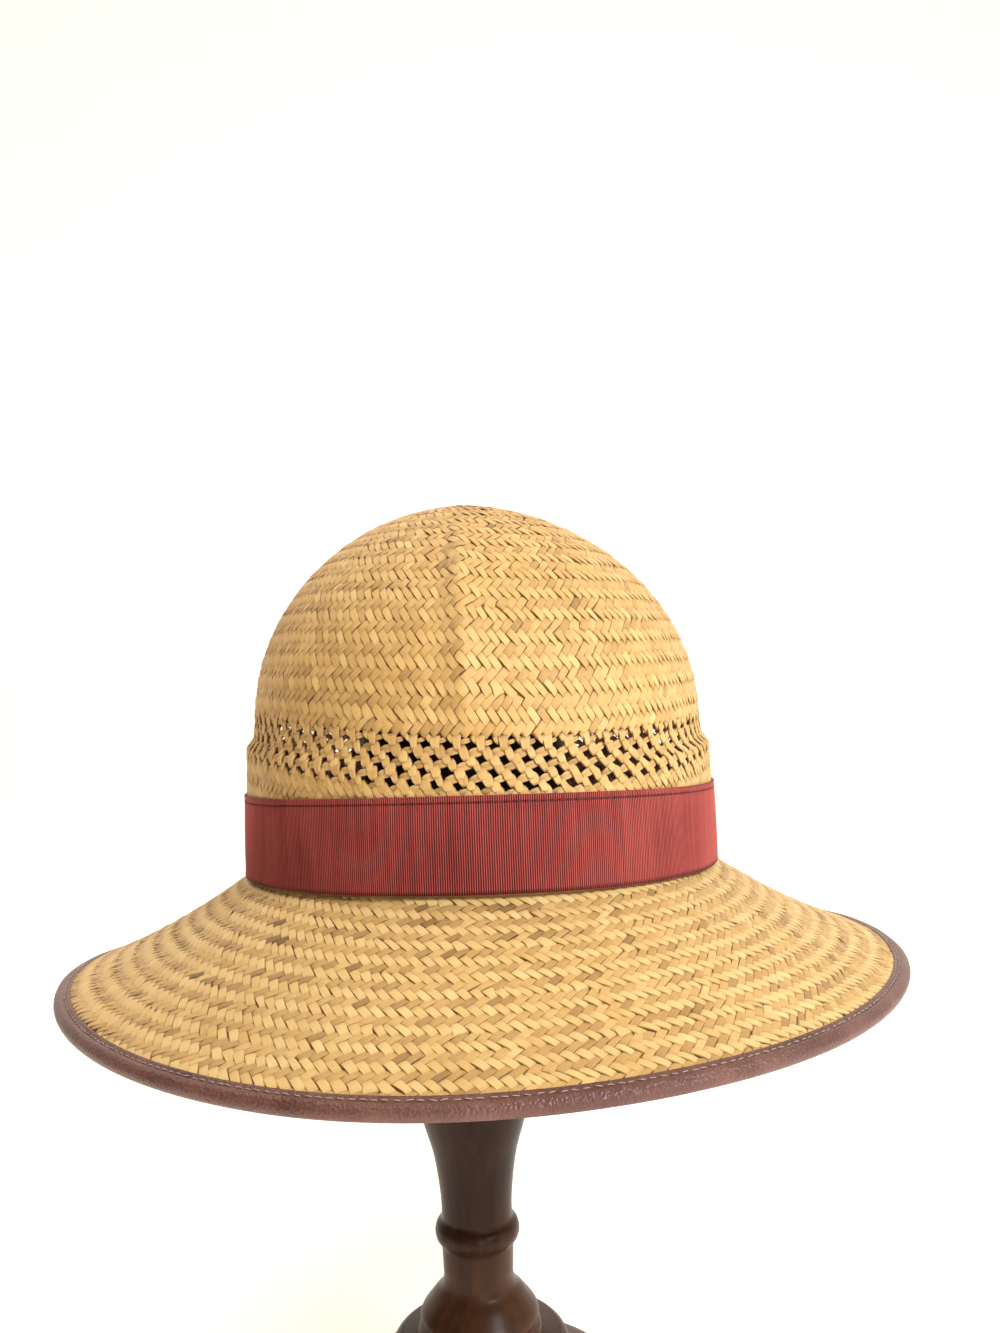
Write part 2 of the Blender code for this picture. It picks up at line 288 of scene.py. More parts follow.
# %% Floor
FLOOR_FRONT, FLOOR_BACK, FLOOR_CURVE, FLOOR_TOP, FLOOR_SIDE = -3000.0, 900.0, 700.0, 3500.0, 4000.0


def sweep_profile(front, back, radius, top, steps=24):
    """Depth and height along the sheet: a flat run, a quarter circle, a rise."""
    turn = np.linspace(0, math.pi / 2, steps)
    depth = np.concatenate([[front], back + radius * np.sin(turn), [back + radius]])
    height = np.concatenate([[0.0], radius * (1 - np.cos(turn)), [top]])
    return depth, height


depth, height = sweep_profile(FLOOR_FRONT, FLOOR_BACK, FLOOR_CURVE, FLOOR_TOP)
sides = np.array([-FLOOR_SIDE, FLOOR_SIDE])
floor_points = np.stack(np.broadcast_arrays(sides, depth[:, None], height[:, None]), -1)
floor = mesh_object("floor", floor_points, grid_faces(len(depth), 2))
pale_floor = new_material("pale_floor", {
    "Base Color": (0.93, 0.92, 0.9, 1.0), "Roughness": 0.9,
    "Emission Color": (1.0, 0.93, 0.82, 1.0), "Emission Strength": 0.64})[0]
floor.data.materials.append(pale_floor)
print("floor of", len(floor.data.polygons), "faces")

# %% [markdown]
# The hat's outline comes next, as functions of the angle round the hat and a height or
# a share of the way out. It could be traced point by point, but a few named sizes are
# easier to check and to change. The construction model's solids say where the hat stands
# and how big it is, and the numbers below say how it curves between those sizes.

# %% The hat's place and sizes
def box_mm(node):
    """The lowest and the highest corner of one of the construction model's solids."""
    return [np.array(corner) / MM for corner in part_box(node)]


wall_low, wall_high = box_mm("crown_wall")
brim_low, brim_high = box_mm("brim")
dome_high = box_mm("crown_dome")[1]

GAP = 0.3  # air between neighbouring solids
STRAW = 1.8  # thickness of the plaited wall
JOIN_SADDLE = 2.0  # crown meets brim this much lower at the sides, and higher in front
HAT_X = (wall_low[0] + wall_high[0]) / 2
HAT_Z = brim_high[2] - JOIN_SADDLE + GAP
HAT_AT = np.array([HAT_X, 0.0, HAT_Z])
FRONT = -math.pi / 2  # the angle of the hat's front
print(f"hat centre x {HAT_X:.1f}, join line z {HAT_Z:.1f}")

# %% [markdown]
# The crown's wall isn't a plain cylinder: the openwork sits back a little, and the ribbon
# presses on a wider ring under it. An oval whose two half sizes are read from a short
# table by depth gives both, where a lofted curve would need a point for every angle.

# %% Crown wall
VENT_TOP = 50.2  # height of the openwork's upper line over the join line
VENT_TOP_SADDLE, VENT_TOP_TURN, VENT_TOP_LEAN = 3.5, math.radians(12.5), -1.1
VENT_HEIGHT = 14.4
WALL_DEPTHS, WALL_HALF_WIDTHS, WALL_HALF_LENGTHS = np.array([
    # depth below the openwork's upper line, half width, half length
    (0.0, 81.2, 97.6), (7.0, 81.8, 98.2), (10.0, 84.3, 99.6), (24.0, 84.8, 99.9), (50.0, 85.3, 97.5)]).T


def join_height(angle):
    """The line where crown meets brim: a saddle that falls at the sides, by a cosine
    with two waves to a turn."""
    return -JOIN_SADDLE * np.cos(2 * angle)


def vent_top(angle):
    """The openwork's upper line: a saddle of two waves to a turn that rises at the sides,
    and one wave more that lifts its left."""
    saddle = VENT_TOP_SADDLE * np.cos(2 * (angle - VENT_TOP_TURN))
    return VENT_TOP + saddle + VENT_TOP_LEAN * np.cos(angle)


def wall_surface(angle, height):
    """An oval: the half width times the cosine and the half length times the sine, both
    read from the table at the depth below the openwork's upper line."""
    depth = vent_top(angle) - height
    half_x = np.interp(depth, WALL_DEPTHS, WALL_HALF_WIDTHS)
    half_y = np.interp(depth, WALL_DEPTHS, WALL_HALF_LENGTHS)
    return np.stack([half_x * np.cos(angle), half_y * np.sin(angle), height + 0 * angle], -1)


print(f"crown {2 * WALL_HALF_WIDTHS[-1]:.0f} wide and {2 * WALL_HALF_LENGTHS[-1]:.0f} long at its foot")

# %% [markdown]
# The dome is pressed over a block, which leaves a soft ridge down its front. A ball with
# its points pushed about would do, but its rows would not stay level, and the straw lies
# in level rings. So the dome is a formula in the angle and the rise above its foot, and
# the ridge is added to it as a small bump with a steep side and a gentle one.

# %% Dome and its ridge
CROWN_TOP = dome_high[2] - HAT_Z
CROWN_LEAN = -3.9  # sideways shift of the very top
DOME_TAPER = 1.09  # 1 is an ellipse, more is a slightly pointed dome
RIDGE_RISE = 3.0  # how far the front ridge stands out
RIDGE_LEFT, RIDGE_RIGHT = math.radians(5.5), math.radians(8.5)  # its two flanks
RIDGE_SLANT = math.radians(1.6)


def smoothstep(low, high, value):
    """Goes from 0 at low to 1 at high, level at both: 3 t squared less 2 t cubed, where t
    is the share of the way."""
    t = np.clip((value - low) / (high - low), 0, 1)
    return t * t * (3 - 2 * t)


def turn_from(place, angle):
    """The turn from a place to an angle, the short way round: the difference less whole
    turns, between minus half a turn and half a turn."""
    return np.remainder(angle - place + math.pi, FULL_TURN) - math.pi


def ridge(angle, rise):
    """The fold pressed down the dome's front: a crest that leans to the right at its
    foot, steep on its left flank and gentle on its right, fading out up the dome."""
    off = turn_from(FRONT + RIDGE_SLANT * (1 - rise / math.radians(60)), angle)
    side = np.clip(1 - np.abs(off) / np.where(off < 0, RIDGE_LEFT, RIDGE_RIGHT), 0, 1)
    along = smoothstep(math.radians(1), math.radians(9), rise)
    along = along * (1 - smoothstep(math.radians(36), math.radians(66), rise))
    return RIDGE_RISE * along * side ** 1.4


def dome_surface(angle, rise):
    """The dome: height grows as the sine of the rise, and the oval shrinks as a power of
    its cosine. The top leans sideways a little."""
    foot = vent_top(angle) + GAP / 2
    spread = np.clip(np.cos(rise), 0, 1) ** DOME_TAPER
    out = ridge(angle, rise)
    return np.stack([
        (WALL_HALF_WIDTHS[0] * spread + out) * np.cos(angle) + CROWN_LEAN * np.sin(rise) ** 3,
        (WALL_HALF_LENGTHS[0] * spread + out) * np.sin(angle),
        foot + (CROWN_TOP - foot) * np.sin(rise) + out * np.sin(rise)], -1)


print(f"top of dome {CROWN_TOP:.1f} above the join line")

# %% [markdown]
# The brim slopes down all round, and years of wear have let its rim wave. Straight lines
# from the crown's foot to the rim keep it smooth, which pushing single points about would
# not, and each dip of the rim is one row of a table.

# %% Brim and its rim
BRIM_HALF_WIDTH = (brim_high[0] - brim_low[0]) / 2
BRIM_HALF_LENGTH = (brim_high[1] - brim_low[1]) / 2
BRIM_SHIFT = (brim_high[1] + brim_low[1]) / 2
BRIM_BOW = 0.09  # how far the slope sags near the crown, as a share of its fall
RIM_DROP, RIM_SADDLE, RIM_TILT = 37.0, 3.5, 0.043
RIM_WAVES = (  # rise, place, reach
    (-4.1, math.radians(157), math.radians(44)),
    (1.1, math.radians(-70), math.radians(38)),
)


def rim_height(angle, y):
    """The rim is higher at the sides and falls towards the back. Each wave is a hump of a
    squared cosine, which lifts or lowers a part of it."""
    height = RIM_SADDLE * np.cos(2 * angle) - RIM_DROP - RIM_TILT * y
    for rise, place, reach in RIM_WAVES:
        off = turn_from(place, angle)
        height = height + rise * np.cos(np.clip(off / reach, -1, 1) * math.pi / 2) ** 2
    return height


def brim_surface(angle, share):
    """Straight lines from the crown's foot (share 0) to the rim (share 1), bowed down
    near the crown by a half wave of a sine."""
    foot = np.stack([WALL_HALF_WIDTHS[-1] * np.cos(angle), WALL_HALF_LENGTHS[-1] * np.sin(angle)], -1)
    rim = np.stack([BRIM_HALF_WIDTH * np.cos(angle), BRIM_SHIFT + BRIM_HALF_LENGTH * np.sin(angle)], -1)
    foot_z = join_height(angle) - GAP
    rim_z = rim_height(angle, rim[..., 1])
    flat = foot + (rim - foot) * share[..., None]
    bowed = share + BRIM_BOW * np.sin(math.pi * share)
    return np.concatenate([flat, (foot_z + (rim_z - foot_z) * bowed)[..., None]], -1)


print(f"brim {2 * BRIM_HALF_WIDTH:.0f} wide and {2 * BRIM_HALF_LENGTH:.0f} long")

# %% [markdown]
# Straw, ribbon and leather all lie on these surfaces, some of them a little proud. To
# place them, a point is moved along the surface's normal, the direction straight out of
# it. A mesh has normals too, but only at its own points; two tiny steps on the formula
# give one anywhere.

# %% Off the surface
NUDGE = 1e-3  # a tiny step, for slopes


def unit(vectors):
    """Each vector divided by its own length."""
    return vectors / np.linalg.norm(vectors, axis=-1, keepdims=True)


def on_surface(surface, angle, other, outward):
    """Points of a surface moved along its outward normal, which is the cross product of
    the steps round the hat and up it. The brim's share grows downwards, so its step is
    taken the other way."""
    step = -NUDGE if surface is brim_surface else NUDGE
    here = surface(angle, other)
    around = surface(angle + NUDGE, other) - here
    upward = surface(angle, other + step) - here
    return here + unit(np.cross(around, upward)) * np.asarray(outward)[..., None] + HAT_AT


start = np.zeros(1)
straight_out = on_surface(wall_surface, start, start, 1.0) - on_surface(wall_surface, start, start, 0.0)
print("straight out of the wall's side is", np.round(straight_out[0], 2))

# %% [markdown]
# Palm hats are plaited on the bias: each flat strand passes over two and under two of
# the others. From outside this gives rows of short floats, one row leaning one way and
# the next row the other, like a zigzag. A bump map can't show the floats' rounded backs
# and the dark gaps between them, so each float is a small curved tile of its own whose
# ends dip under its neighbours. As the hat widens, the maker adds strands, so the rows
# below add columns where the spacing has grown.

# %% The next row of floats
random = np.random.default_rng(7)


def next_row(angles, count, relax_steps):
    """The angles of the next row's floats: midway between the last row's. Each sector of
    the ring gains a column in its widest gap, or loses the one in its narrowest, and
    then the row is relaxed: each float moves a quarter of its neighbours' pull."""
    after = np.roll(angles, -1)
    after[-1] += FULL_TURN
    row = (angles + after) / 2
    change = count - len(row)
    gap = np.append(row[1:], row[0] + FULL_TURN) - row
    wanted = np.sign(change) * gap * (1 + 0.05 * random.random(len(row)))
    sectors = np.array_split(np.arange(len(row)), max(abs(change), 1))
    places = np.array([sector[np.argmax(wanted[sector])] for sector in sectors])
    if change > 0:
        row = np.sort(np.concatenate([row, (row + 0.5 * gap)[places]]))
    elif change < 0:
        row = np.delete(row, places)
    for _ in range(relax_steps):
        before = np.roll(row, 1)
        before[0] -= FULL_TURN
        ahead = np.roll(row, -1)
        ahead[-1] += FULL_TURN
        row = row + 0.25 * (before - 2 * row + ahead)
    return row


print("random numbers start from a fixed seed")

# %% All rows of floats
RELAX_STEPS = 10
LEAST_COLUMNS = 6


def plait_rows(surface, row_values, spacing, first_count=None):
    """One array of angles for each row, as many as its length divided by the spacing."""
    angles = np.linspace(0, FULL_TURN, 721)
    rows = []
    for value in row_values:
        ring = surface(angles, np.full_like(angles, value))
        length = np.linalg.norm(np.diff(ring, axis=0), axis=1).sum()
        count = first_count if first_count and not rows else max(LEAST_COLUMNS, round(length / spacing))
        even = np.arange(count) / count * FULL_TURN
        rows.append(next_row(rows[-1], count, RELAX_STEPS) if rows else even)
    return rows


print("each row is relaxed in", RELAX_STEPS, "steps")

# %% [markdown]
# One float is a short piece of flat strand: widest where it lies on top, lower at both
# ends where it dips under its neighbours, and with its long edges turned down. Four short
# lists say so, two along it and two across. Where only its outline shows, as inside the
# hat, a coarser tile with fewer points does.

# %% The shape of one float
FINE_TILE = (
    np.array([-1.22, -0.93, -0.45, 0.45, 0.93, 1.22]),  # places along it
    np.array([0.0, 0.6, 0.88, 0.92, 0.64, 0.0]),  # its rise there, 1 is full height
    np.array([-1.0, -0.88, 0.0, 0.88, 1.0]),  # places across it
    np.array([0.55, 0.12, 0.0, 0.12, 0.55]),  # its drop there, in millimetres
)
COARSE_TILE = (
    np.array([-1.15, -0.6, 0.6, 1.15]),
    np.array([-0.3, 0.85, 0.85, -0.3]),
    np.array([-1.0, 0.0, 1.0]),
    np.array([0.3, 0.0, 0.3]),
)
TILE_SIDES, TILE_ENDS = (1, 3), (1, 4)  # columns and rows where its flat top turns down
print("points in a float:", len(FINE_TILE[0]) * len(FINE_TILE[2]))

# %% [markdown]
# A float leans because its foot lies beside one float of the row below and its head
# beside one of the row above. If each tile were drawn alone, gaps would open wherever a
# column is added. So its middle line is bent through both neighbours, and its sides lie
# half way to the next middle lines.

# %% Lines of the floats
def nearest_columns(row, angles, side):
    """The angle in a row that lies next to each given angle on one side (-1 or 1), found
    in the sorted row laid out over three turns."""
    wide = np.concatenate([row - FULL_TURN, row, row + FULL_TURN])
    wide.sort()
    place = np.searchsorted(wide, angles)
    return wide[place] if side > 0 else wide[place - 1]


def row_steps(rows, k, lean):
    """For each float of a row: a quarter of the way between its neighbours, and how far
    round its head and its foot lie, to the next column of the rows above and below."""
    row = rows[k]
    cell = (nearest_columns(row, row + 1e-6, 1) - nearest_columns(row, row - 1e-6, -1)) / 4
    up, down = lean * cell, -lean * cell
    if k + 1 < len(rows):
        up = np.clip(nearest_columns(rows[k + 1], row, lean) - row, -1.5 * cell, 1.5 * cell)
    if k > 0:
        down = np.clip(nearest_columns(rows[k - 1], row, -lean) - row, -1.5 * cell, 1.5 * cell)
    return cell, up, down


def middle_lines(row, slope, bend, shift, sigma):
    """The middle line of the float some places further round than each float of a row:
    its place, plus the slope times sigma, plus the bend times sigma squared. Sigma runs
    from -1 at the line's foot to 1 at its head; past them it runs straight."""
    near = row + np.remainder(np.roll(row, -shift) - row + math.pi, FULL_TURN) - math.pi
    near, slope, bend = (a[:, None, None] for a in (near, np.roll(slope, -shift), np.roll(bend, -shift)))
    return near + slope * sigma + bend * np.clip(sigma, -1, 1) ** 2


print("line helpers ready")

# %% [markdown]
# No two floats are alike: leaves differ in width and colour, and fingers lay them more or
# less flat. So each tile gets its own small random changes, from a fixed seed, and its
# strand's tone, which all the floats along one strand share. It also gets a shade, dark
# at its edges and ends: a painted shade where little light falls.

# %% Shades of a float
def float_shades(s, t):
    """1 on the flat top, less towards the ends by a square, and dark past the edges."""
    # Painted shade: the ends and edges are darkened where the floats tuck under their neighbours.
    end = np.clip((np.abs(s) - 0.45) / 0.5, 0, 1)
    edge = np.clip((np.abs(t) - 0.88) / 0.12, 0, 1)
    return np.clip(1 - 0.15 * end ** 2 - 0.85 * (np.abs(s) > 1) - 0.82 * edge, 0, 1)


print("shade at a float's middle and end:", float_shades(0.0, 0.0), float_shades(1.22, 0.0).round(2))

# %% Float tiles
STRANDS = 997  # tones kept for the strands of one lean, a prime so that none line up
DARK_SHARE, DARK_DROP = 0.008, 2.3  # a few floats are of much darker leaf


def float_tiles(rows, row_numbers, tile, heights=(0.9, 0.8), reaches=(0.5, 0.5), roll=0.14,
                lean_first=-1):
    """Tiles for every float of the given rows, in the plait's own coordinates.

    s runs along a tile and t across it. The two reaches say how far up and down its row
    each lean goes, the two heights how proud it stands, and the roll how much lower its
    upper side is tucked. Its height is its rise times its swell, plus the tilt, less the
    drop at its sides.
    Returns the angle, the row number and the height over the wall at each tile point,
    with texture coordinates, a tone, a shade and the kind: 0 leans left, 1 right."""
    along, rise, across, drop = tile
    s, t = along[None, :, None], across[None, None, :]
    strand_tones = random.normal(0, 1, (2, STRANDS))
    found = []
    for k, row in enumerate(rows):
        lean = lean_first if k % 2 == 0 else -lean_first
        weft = int(lean > 0)
        cell, up, down = row_steps(rows, k, lean)
        n = len(row)
        wobble = np.clip(random.normal(0, 1, (7, n)), -2.2, 2.2)[:, :, None, None]
        width = 1.04 + 0.05 * wobble[0]
        sigma = s + 0.5 * t * width
        middle, behind, ahead = (
            middle_lines(row, (up - down) / 2, (up + down) / 2, shift, sigma) for shift in (0, -lean, lean))
        side = np.where(t > 0, behind, ahead)
        angle = middle + np.abs(t) * width * (side - middle) / 2 + 0.08 * wobble[1] * cell[:, None, None]
        number = row_numbers[k] + reaches[weft] * sigma + 0.025 * wobble[6]
        swell = heights[weft] * (1 + 0.07 * wobble[2])
        tilt = (0.07 * wobble[3] - roll) * t * (1 - s * s / 2)
        over = swell * rise[None, :, None] + tilt - drop[None, None, :] * (0.8 + 0.2 * swell)
        strand = (np.arange(n) - lean * (k // 2)).astype(int) % STRANDS
        tone = 0.75 * strand_tones[weft][strand][:, None, None] + 0.65 * wobble[4]
        tone = tone - DARK_DROP * (random.random((n, 1, 1)) < DARK_SHARE)
        u, v = t * 1.25 + 40 * wobble[5], s * 2.5 + 30 * wobble[2]
        shaped = np.broadcast_arrays(angle, number, over, u, v, tone, float_shades(s, t), np.float64(weft))
        found.append([a.reshape(n, -1) for a in shaped])
    return [np.concatenate(parts) for parts in zip(*found)], grid_faces(len(along), len(across))


print("one float in", round(1 / DARK_SHARE), "is dark")

# %% [markdown]
# Smooth shading would blur each tile's flat top into its sides, and flat shading would
# show its facets. So only the rim between top and sides is marked sharp, which keeps the
# gentle back and the crisp dark line beside it.

# %% Crisp rims
def crisp_rims(piece, along, across, sides, ends=()):
    """Marks an edge as sharp where both its points lie on one rim. A point's number in
    its tile, divided by the points across, gives its row, and the rest its column."""
    mesh = piece.data
    corners = np.empty(len(mesh.edges) * 2, dtype=np.int32)
    mesh.edges.foreach_get("vertices", corners)
    row, column = np.divmod(corners.reshape(-1, 2) % (along * across), across)
    inner = (row >= 1) & (row <= along - 2) & (column >= min(sides)) & (column <= max(sides))
    on_end = (row[:, 0] == row[:, 1]) & np.isin(row[:, 0], ends)
    on_side = (column[:, 0] == column[:, 1]) & np.isin(column[:, 0], sides)
    sharp = inner.all(1) & (on_end | on_side)
    mesh.attributes.new("sharp_edge", "BOOLEAN", "EDGE").data.foreach_set("value", sharp)


print("rim helper ready")

# %% [markdown]
# A plait on a flat sheet could be wrapped round the hat with a modifier, but then its
# floats would stretch where the dome narrows. Instead each tile is worked out by its
# angle and its row number, and only then laid on the surface, inside or outside.

# %% Woven skins
LINING = {"fine": False, "inside": True, "heights": (0.5, 0.5)}  # flat, coarse floats inside


def woven_skin(name, straw, surface, rows, row_numbers, to_other, keep=None, inside=False,
               sink=None, fine=True, **how):
    """A finished skin of float tiles laid over a surface: each point's angle and row
    number give its place there, and its height moves it outward, or inward from the
    wall's inner face.

    to_other turns a row number into the surface's own second parameter, keep says which
    tiles stay, from their middles, and sink is a share of the height left at each point.
    Tiles of the two leans are mirror images, so one kind has its faces turned round."""
    tiles, faces = float_tiles(rows, row_numbers, FINE_TILE if fine else COARSE_TILE, **how)
    if keep is not None:
        kept = keep(tiles[0].mean(1), tiles[1].mean(1))
        tiles = [part[kept] for part in tiles]
    angle, number, over, u, v, tone, shade, weft = tiles
    other = to_other(angle, number)
    if sink is not None:
        over = over * sink(angle, other)
    turned = (weft[:, :1, None] > 0.5) != inside
    each = np.where(turned, faces[:, ::-1], faces) + (np.arange(len(angle)) * angle.shape[1])[:, None, None]
    points = on_surface(surface, angle, other, -STRAW - over if inside else over)
    piece = mesh_object(name, points, each.reshape(-1, 4), np.stack([u, v], -1),
                        {"tone": tone, "shade": shade, "weft": weft})
    if fine:
        crisp_rims(piece, len(FINE_TILE[0]), len(FINE_TILE[2]), TILE_SIDES, TILE_ENDS)
    finish_piece(piece, straw)


print("woven skins ready")

# %% [markdown]
# Straw takes its colour from many small things at once: each strand has its own tone,
# fibres run along it, its edges are shadowed, and the whole hat has aged unevenly. One
# noise over the whole hat would ignore the strands. So each tile carries its tone and its
# shade as attributes, and its texture coordinates run along the strand, so that the
# fibres follow it however it turns.

# %% Noise, colour and bump
EVEN = (1.0, 1.0, 1.0)  # a noise that isn't drawn out


def stretched_noise(tree, source, stretch, scale=1.0, detail=3.0):
    """Noise on given coordinates, drawn out along an axis by its small stretch value."""
    mapping = add_node(tree, "ShaderNodeMapping")
    mapping.inputs["Scale"].default_value = stretch
    noise = add_node(tree, "ShaderNodeTexNoise", Scale=scale, Detail=detail)
    tree.links.new(source, mapping.inputs["Vector"])
    tree.links.new(mapping.outputs[0], noise.inputs["Vector"])
    return noise.outputs["Fac"]


def varied(tree, value, noise, swing):
    """A value plus the swing times what the noise has over a half, so that its mean stays."""
    return maths(tree, "ADD", value, maths(tree, "MULTIPLY", maths(tree, "SUBTRACT", noise, 0.5), swing))


def color_ramp(tree, factor, stops):
    """A colour from a factor: straight steps between the stops, each a place and a colour."""
    ramp = add_node(tree, "ShaderNodeValToRGB")
    elements = ramp.color_ramp.elements
    while len(elements) < len(stops):
        elements.new(0.5)
    for element, (place, color) in zip(elements, stops):
        element.position = place
        element.color = (*color, 1.0)
    tree.links.new(factor, ramp.inputs[0])
    return ramp.outputs["Color"]


def bump(tree, shader, height, strength, distance):
    """Fine relief from a height: the shader's normal leans against the height's slope."""
    node = add_node(tree, "ShaderNodeBump", Strength=strength, Distance=distance)
    tree.links.new(height, node.inputs["Height"])
    tree.links.new(node.outputs[0], shader.inputs["Normal"])


def attribute(tree, name):
    """A number that each point of the mesh carries."""
    return add_node(tree, "ShaderNodeAttribute", attribute_name=name).outputs["Fac"]


def along_piece(tree):
    """The piece's own texture coordinates, which follow its surface."""
    return add_node(tree, "ShaderNodeUVMap", uv_map="UVMap").outputs[0]


def in_object(tree):
    """The place in the object, in metres."""
    return add_node(tree, "ShaderNodeTexCoord").outputs["Object"]


print("noise helpers ready")

# %% [markdown]
# Palm leaf is a warm gold, paler where the sun bleached it and painted browner at the
# edges and ends of the floats, a painted shade where little light falls. The two sets of
# strands each have their own mean and spread: partly the leaves differ, and partly the
# darker set is painted shade for the strands of that lean, which catch less light. The
# crown is nearly even, the brim has a pale set and a dark one, and the crown's inside is
# painted almost black, a painted shade for the little light that reaches it.

# %% Straw
STRAW_STOPS = (
    (0.0, (0.23, 0.115, 0.037)), (0.2, (0.43, 0.24, 0.078)), (0.5, (0.67, 0.405, 0.138)),
    (0.8, (0.81, 0.555, 0.225)), (1.0, (0.89, 0.68, 0.34)),
)
# The dark tint of the painted shade: gaps, ends and creases of the strands, and the crown's lining.
PAINTED_SHADE_TINT = (0.2, 0.11, 0.05, 1.0)


def straw_material(name, means, spreads, depth, lit_share=1.0):
    """Plaited palm leaf. A mean plus the tone times a spread, both by the set of strands,
    plus three noises, picks the colour. It is multiplied by a dark tint, a painted shade,
    where the shade times the lit share falls below 1, as strongly as the depth says."""
    material, tree, shader = new_material(name, {"Specular IOR Level": 0.35, "Sheen Weight": 0.08})
    uv = along_piece(tree)
    tone, shade, weft = (attribute(tree, kind) for kind in ("tone", "shade", "weft"))
    fibre = stretched_noise(tree, uv, (4.5, 0.22, 1.0))
    fine = stretched_noise(tree, uv, (13.0, 0.5, 1.0))
    age = stretched_noise(tree, in_object(tree), EVEN, 24.0)
    # The darker set of strands is partly real leaf and partly painted shade for strands of that lean.
    spread = maths(tree, "MULTIPLY", tone, between(tree, weft, *spreads))
    value = maths(tree, "ADD", between(tree, weft, *means), spread)
    for noise, swing in ((fibre, 0.34), (fine, 0.42), (age, 0.22)):
        value = varied(tree, value, noise, swing)
    # Painted shade: the colour darkens towards the tint where the shade attribute is low.
    light = maths(tree, "MULTIPLY", shade, lit_share)
    darkness = maths(tree, "MULTIPLY", maths(tree, "SUBTRACT", 1.0, light), depth)
    painted_shade_mix = add_node(tree, "ShaderNodeMix", data_type="RGBA", blend_type="MULTIPLY")
    painted_shade_mix.inputs[7].default_value = PAINTED_SHADE_TINT
    tree.links.new(darkness, painted_shade_mix.inputs[0])
    tree.links.new(color_ramp(tree, value, STRAW_STOPS), painted_shade_mix.inputs[6])
    tree.links.new(painted_shade_mix.outputs[2], shader.inputs["Base Color"])
    tree.links.new(between(tree, fibre, 0.36, 0.7), shader.inputs["Roughness"])
    bump(tree, shader, maths(tree, "ADD", fibre, maths(tree, "MULTIPLY", fine, 0.5)), 0.35, 0.0004)
    return material


crown_straw = straw_material("crown_straw", (0.53, 0.45), (0.07, 0.085), 0.95)
brim_straw = straw_material("brim_straw", (0.71, 0.43), (0.06, 0.11), 0.95)
inner_straw = straw_material("inner_straw", (0.46, 0.42), (0.08, 0.08), 0.85)
# The crown's lining: its lit share is small, so it is painted almost black, a painted shade.
shaded_straw = straw_material("shaded_straw", (0.04, 0.02), (0.04, 0.04), 1.0, lit_share=0.08)
print("straw of", len(crown_straw.node_tree.nodes), "nodes")

# %% [markdown]
# Between the floats the straw behind is seen only in shade, so it needs no strands of its
# own: it is painted a dull dark brown, a painted shade, with one cloudy noise on the
# object's place.

# %% Straw behind the floats
shaded_core_straw, tree, shader = new_material("shaded_core_straw", {"Roughness": 0.8})
cloudy = stretched_noise(tree, in_object(tree), EVEN, 90.0, 4.0)
# Painted shade: dark browns for the straw that lies in shade between the floats.
core_color = color_ramp(tree, cloudy, ((0.3, (0.16, 0.08, 0.03)), (0.7, (0.3, 0.17, 0.065))))
tree.links.new(core_color, shader.inputs["Base Color"])
print("core straw ready")

# %% [markdown]
# Under the floats lies the wall itself, seen only as darkness in the gaps. It is a
# closed shell: a grid on the outer face, the same grid on the inner face, and the two
# joined round their edges, which wrapping the grid in both directions gives for free. A
# Solidify modifier would give the same wall, but not the flat ring at the top.

# %% Core shells
def closed_shell(name, surface, values, thickness=STRAW, columns=240, pole=False):
    """A wall between an outer face and one a thickness further in.

    The rows run up the outer face and back down the inner one, and the last row joins
    the first. At a pole each face ends in a small ring that a flat face closes."""
    angle = np.linspace(0, FULL_TURN, columns, endpoint=False)
    rows = np.concatenate([values, values[::-1]])
    outward = np.concatenate([np.zeros(len(values)), np.full(len(values), -thickness)])
    grid_angle, grid_row = np.meshgrid(angle, rows)
    points = on_surface(surface, grid_angle, grid_row, np.broadcast_to(outward[:, None], grid_angle.shape))
    faces = grid_faces(len(rows), columns, wrap_rows=True, wrap_columns=True)
    if not pole:
        return mesh_object(name, points, faces)
    top = len(values) - 1
    strips = faces.reshape(len(rows), columns, 4)
    open_faces = np.delete(strips, top, axis=0).reshape(-1, 4)
    return mesh_object(name, points, [open_faces, ring_caps(top, top + 1, columns)])


print("shell helper ready")

# %% [markdown]
# The dome's rows climb at equal distances along its curve, so the rise angle of each row
# comes from the curve's length, added up in small steps. Equal steps of the angle would
# be simpler, but the rows would crowd near the foot. The rows begin at the openwork,
# where two columns of floats stand over each column of holes.

# %% Dome rows
VENT_COLUMNS = 86
CROWN_SPACING = 3.32  # from one column of floats to the next
ROW = 3.8  # from one row of floats to the next
FIRST_ROW = 0.82  # how far up the dome the first row lies, in rows
ROWS_END = math.radians(79)
CURVE_STEPS = 400
BESIDE_RIDGE = -1.2  # an angle near the front, clear of the ridge

fine_rise = np.linspace(0, math.pi / 2, CURVE_STEPS)
side_curve = dome_surface(np.zeros(CURVE_STEPS), fine_rise)
front_curve = dome_surface(np.full(CURVE_STEPS, BESIDE_RIDGE), fine_rise)
profile = (side_curve + front_curve) / 2
profile_length = np.concatenate([[0], np.cumsum(np.linalg.norm(np.diff(profile, axis=0), axis=1))])


def rise_at(angle, row):
    """Rise angle of a row, read from the curve's length at the row number times the row's
    width. Past the foot the rows carry on a little below the dome."""
    length = (row + FIRST_ROW) * ROW
    inside = np.interp(length, profile_length, fine_rise)
    return np.where(length < 0, length / WALL_HALF_LENGTHS[0], inside)


dome_numbers = np.arange(int(np.interp(ROWS_END, fine_rise, profile_length) / ROW))
dome_rows = plait_rows(dome_surface, rise_at(0.0, dome_numbers), CROWN_SPACING, 2 * VENT_COLUMNS)
print(len(dome_numbers), "rows,", sum(len(r) for r in dome_rows), "floats on the dome")

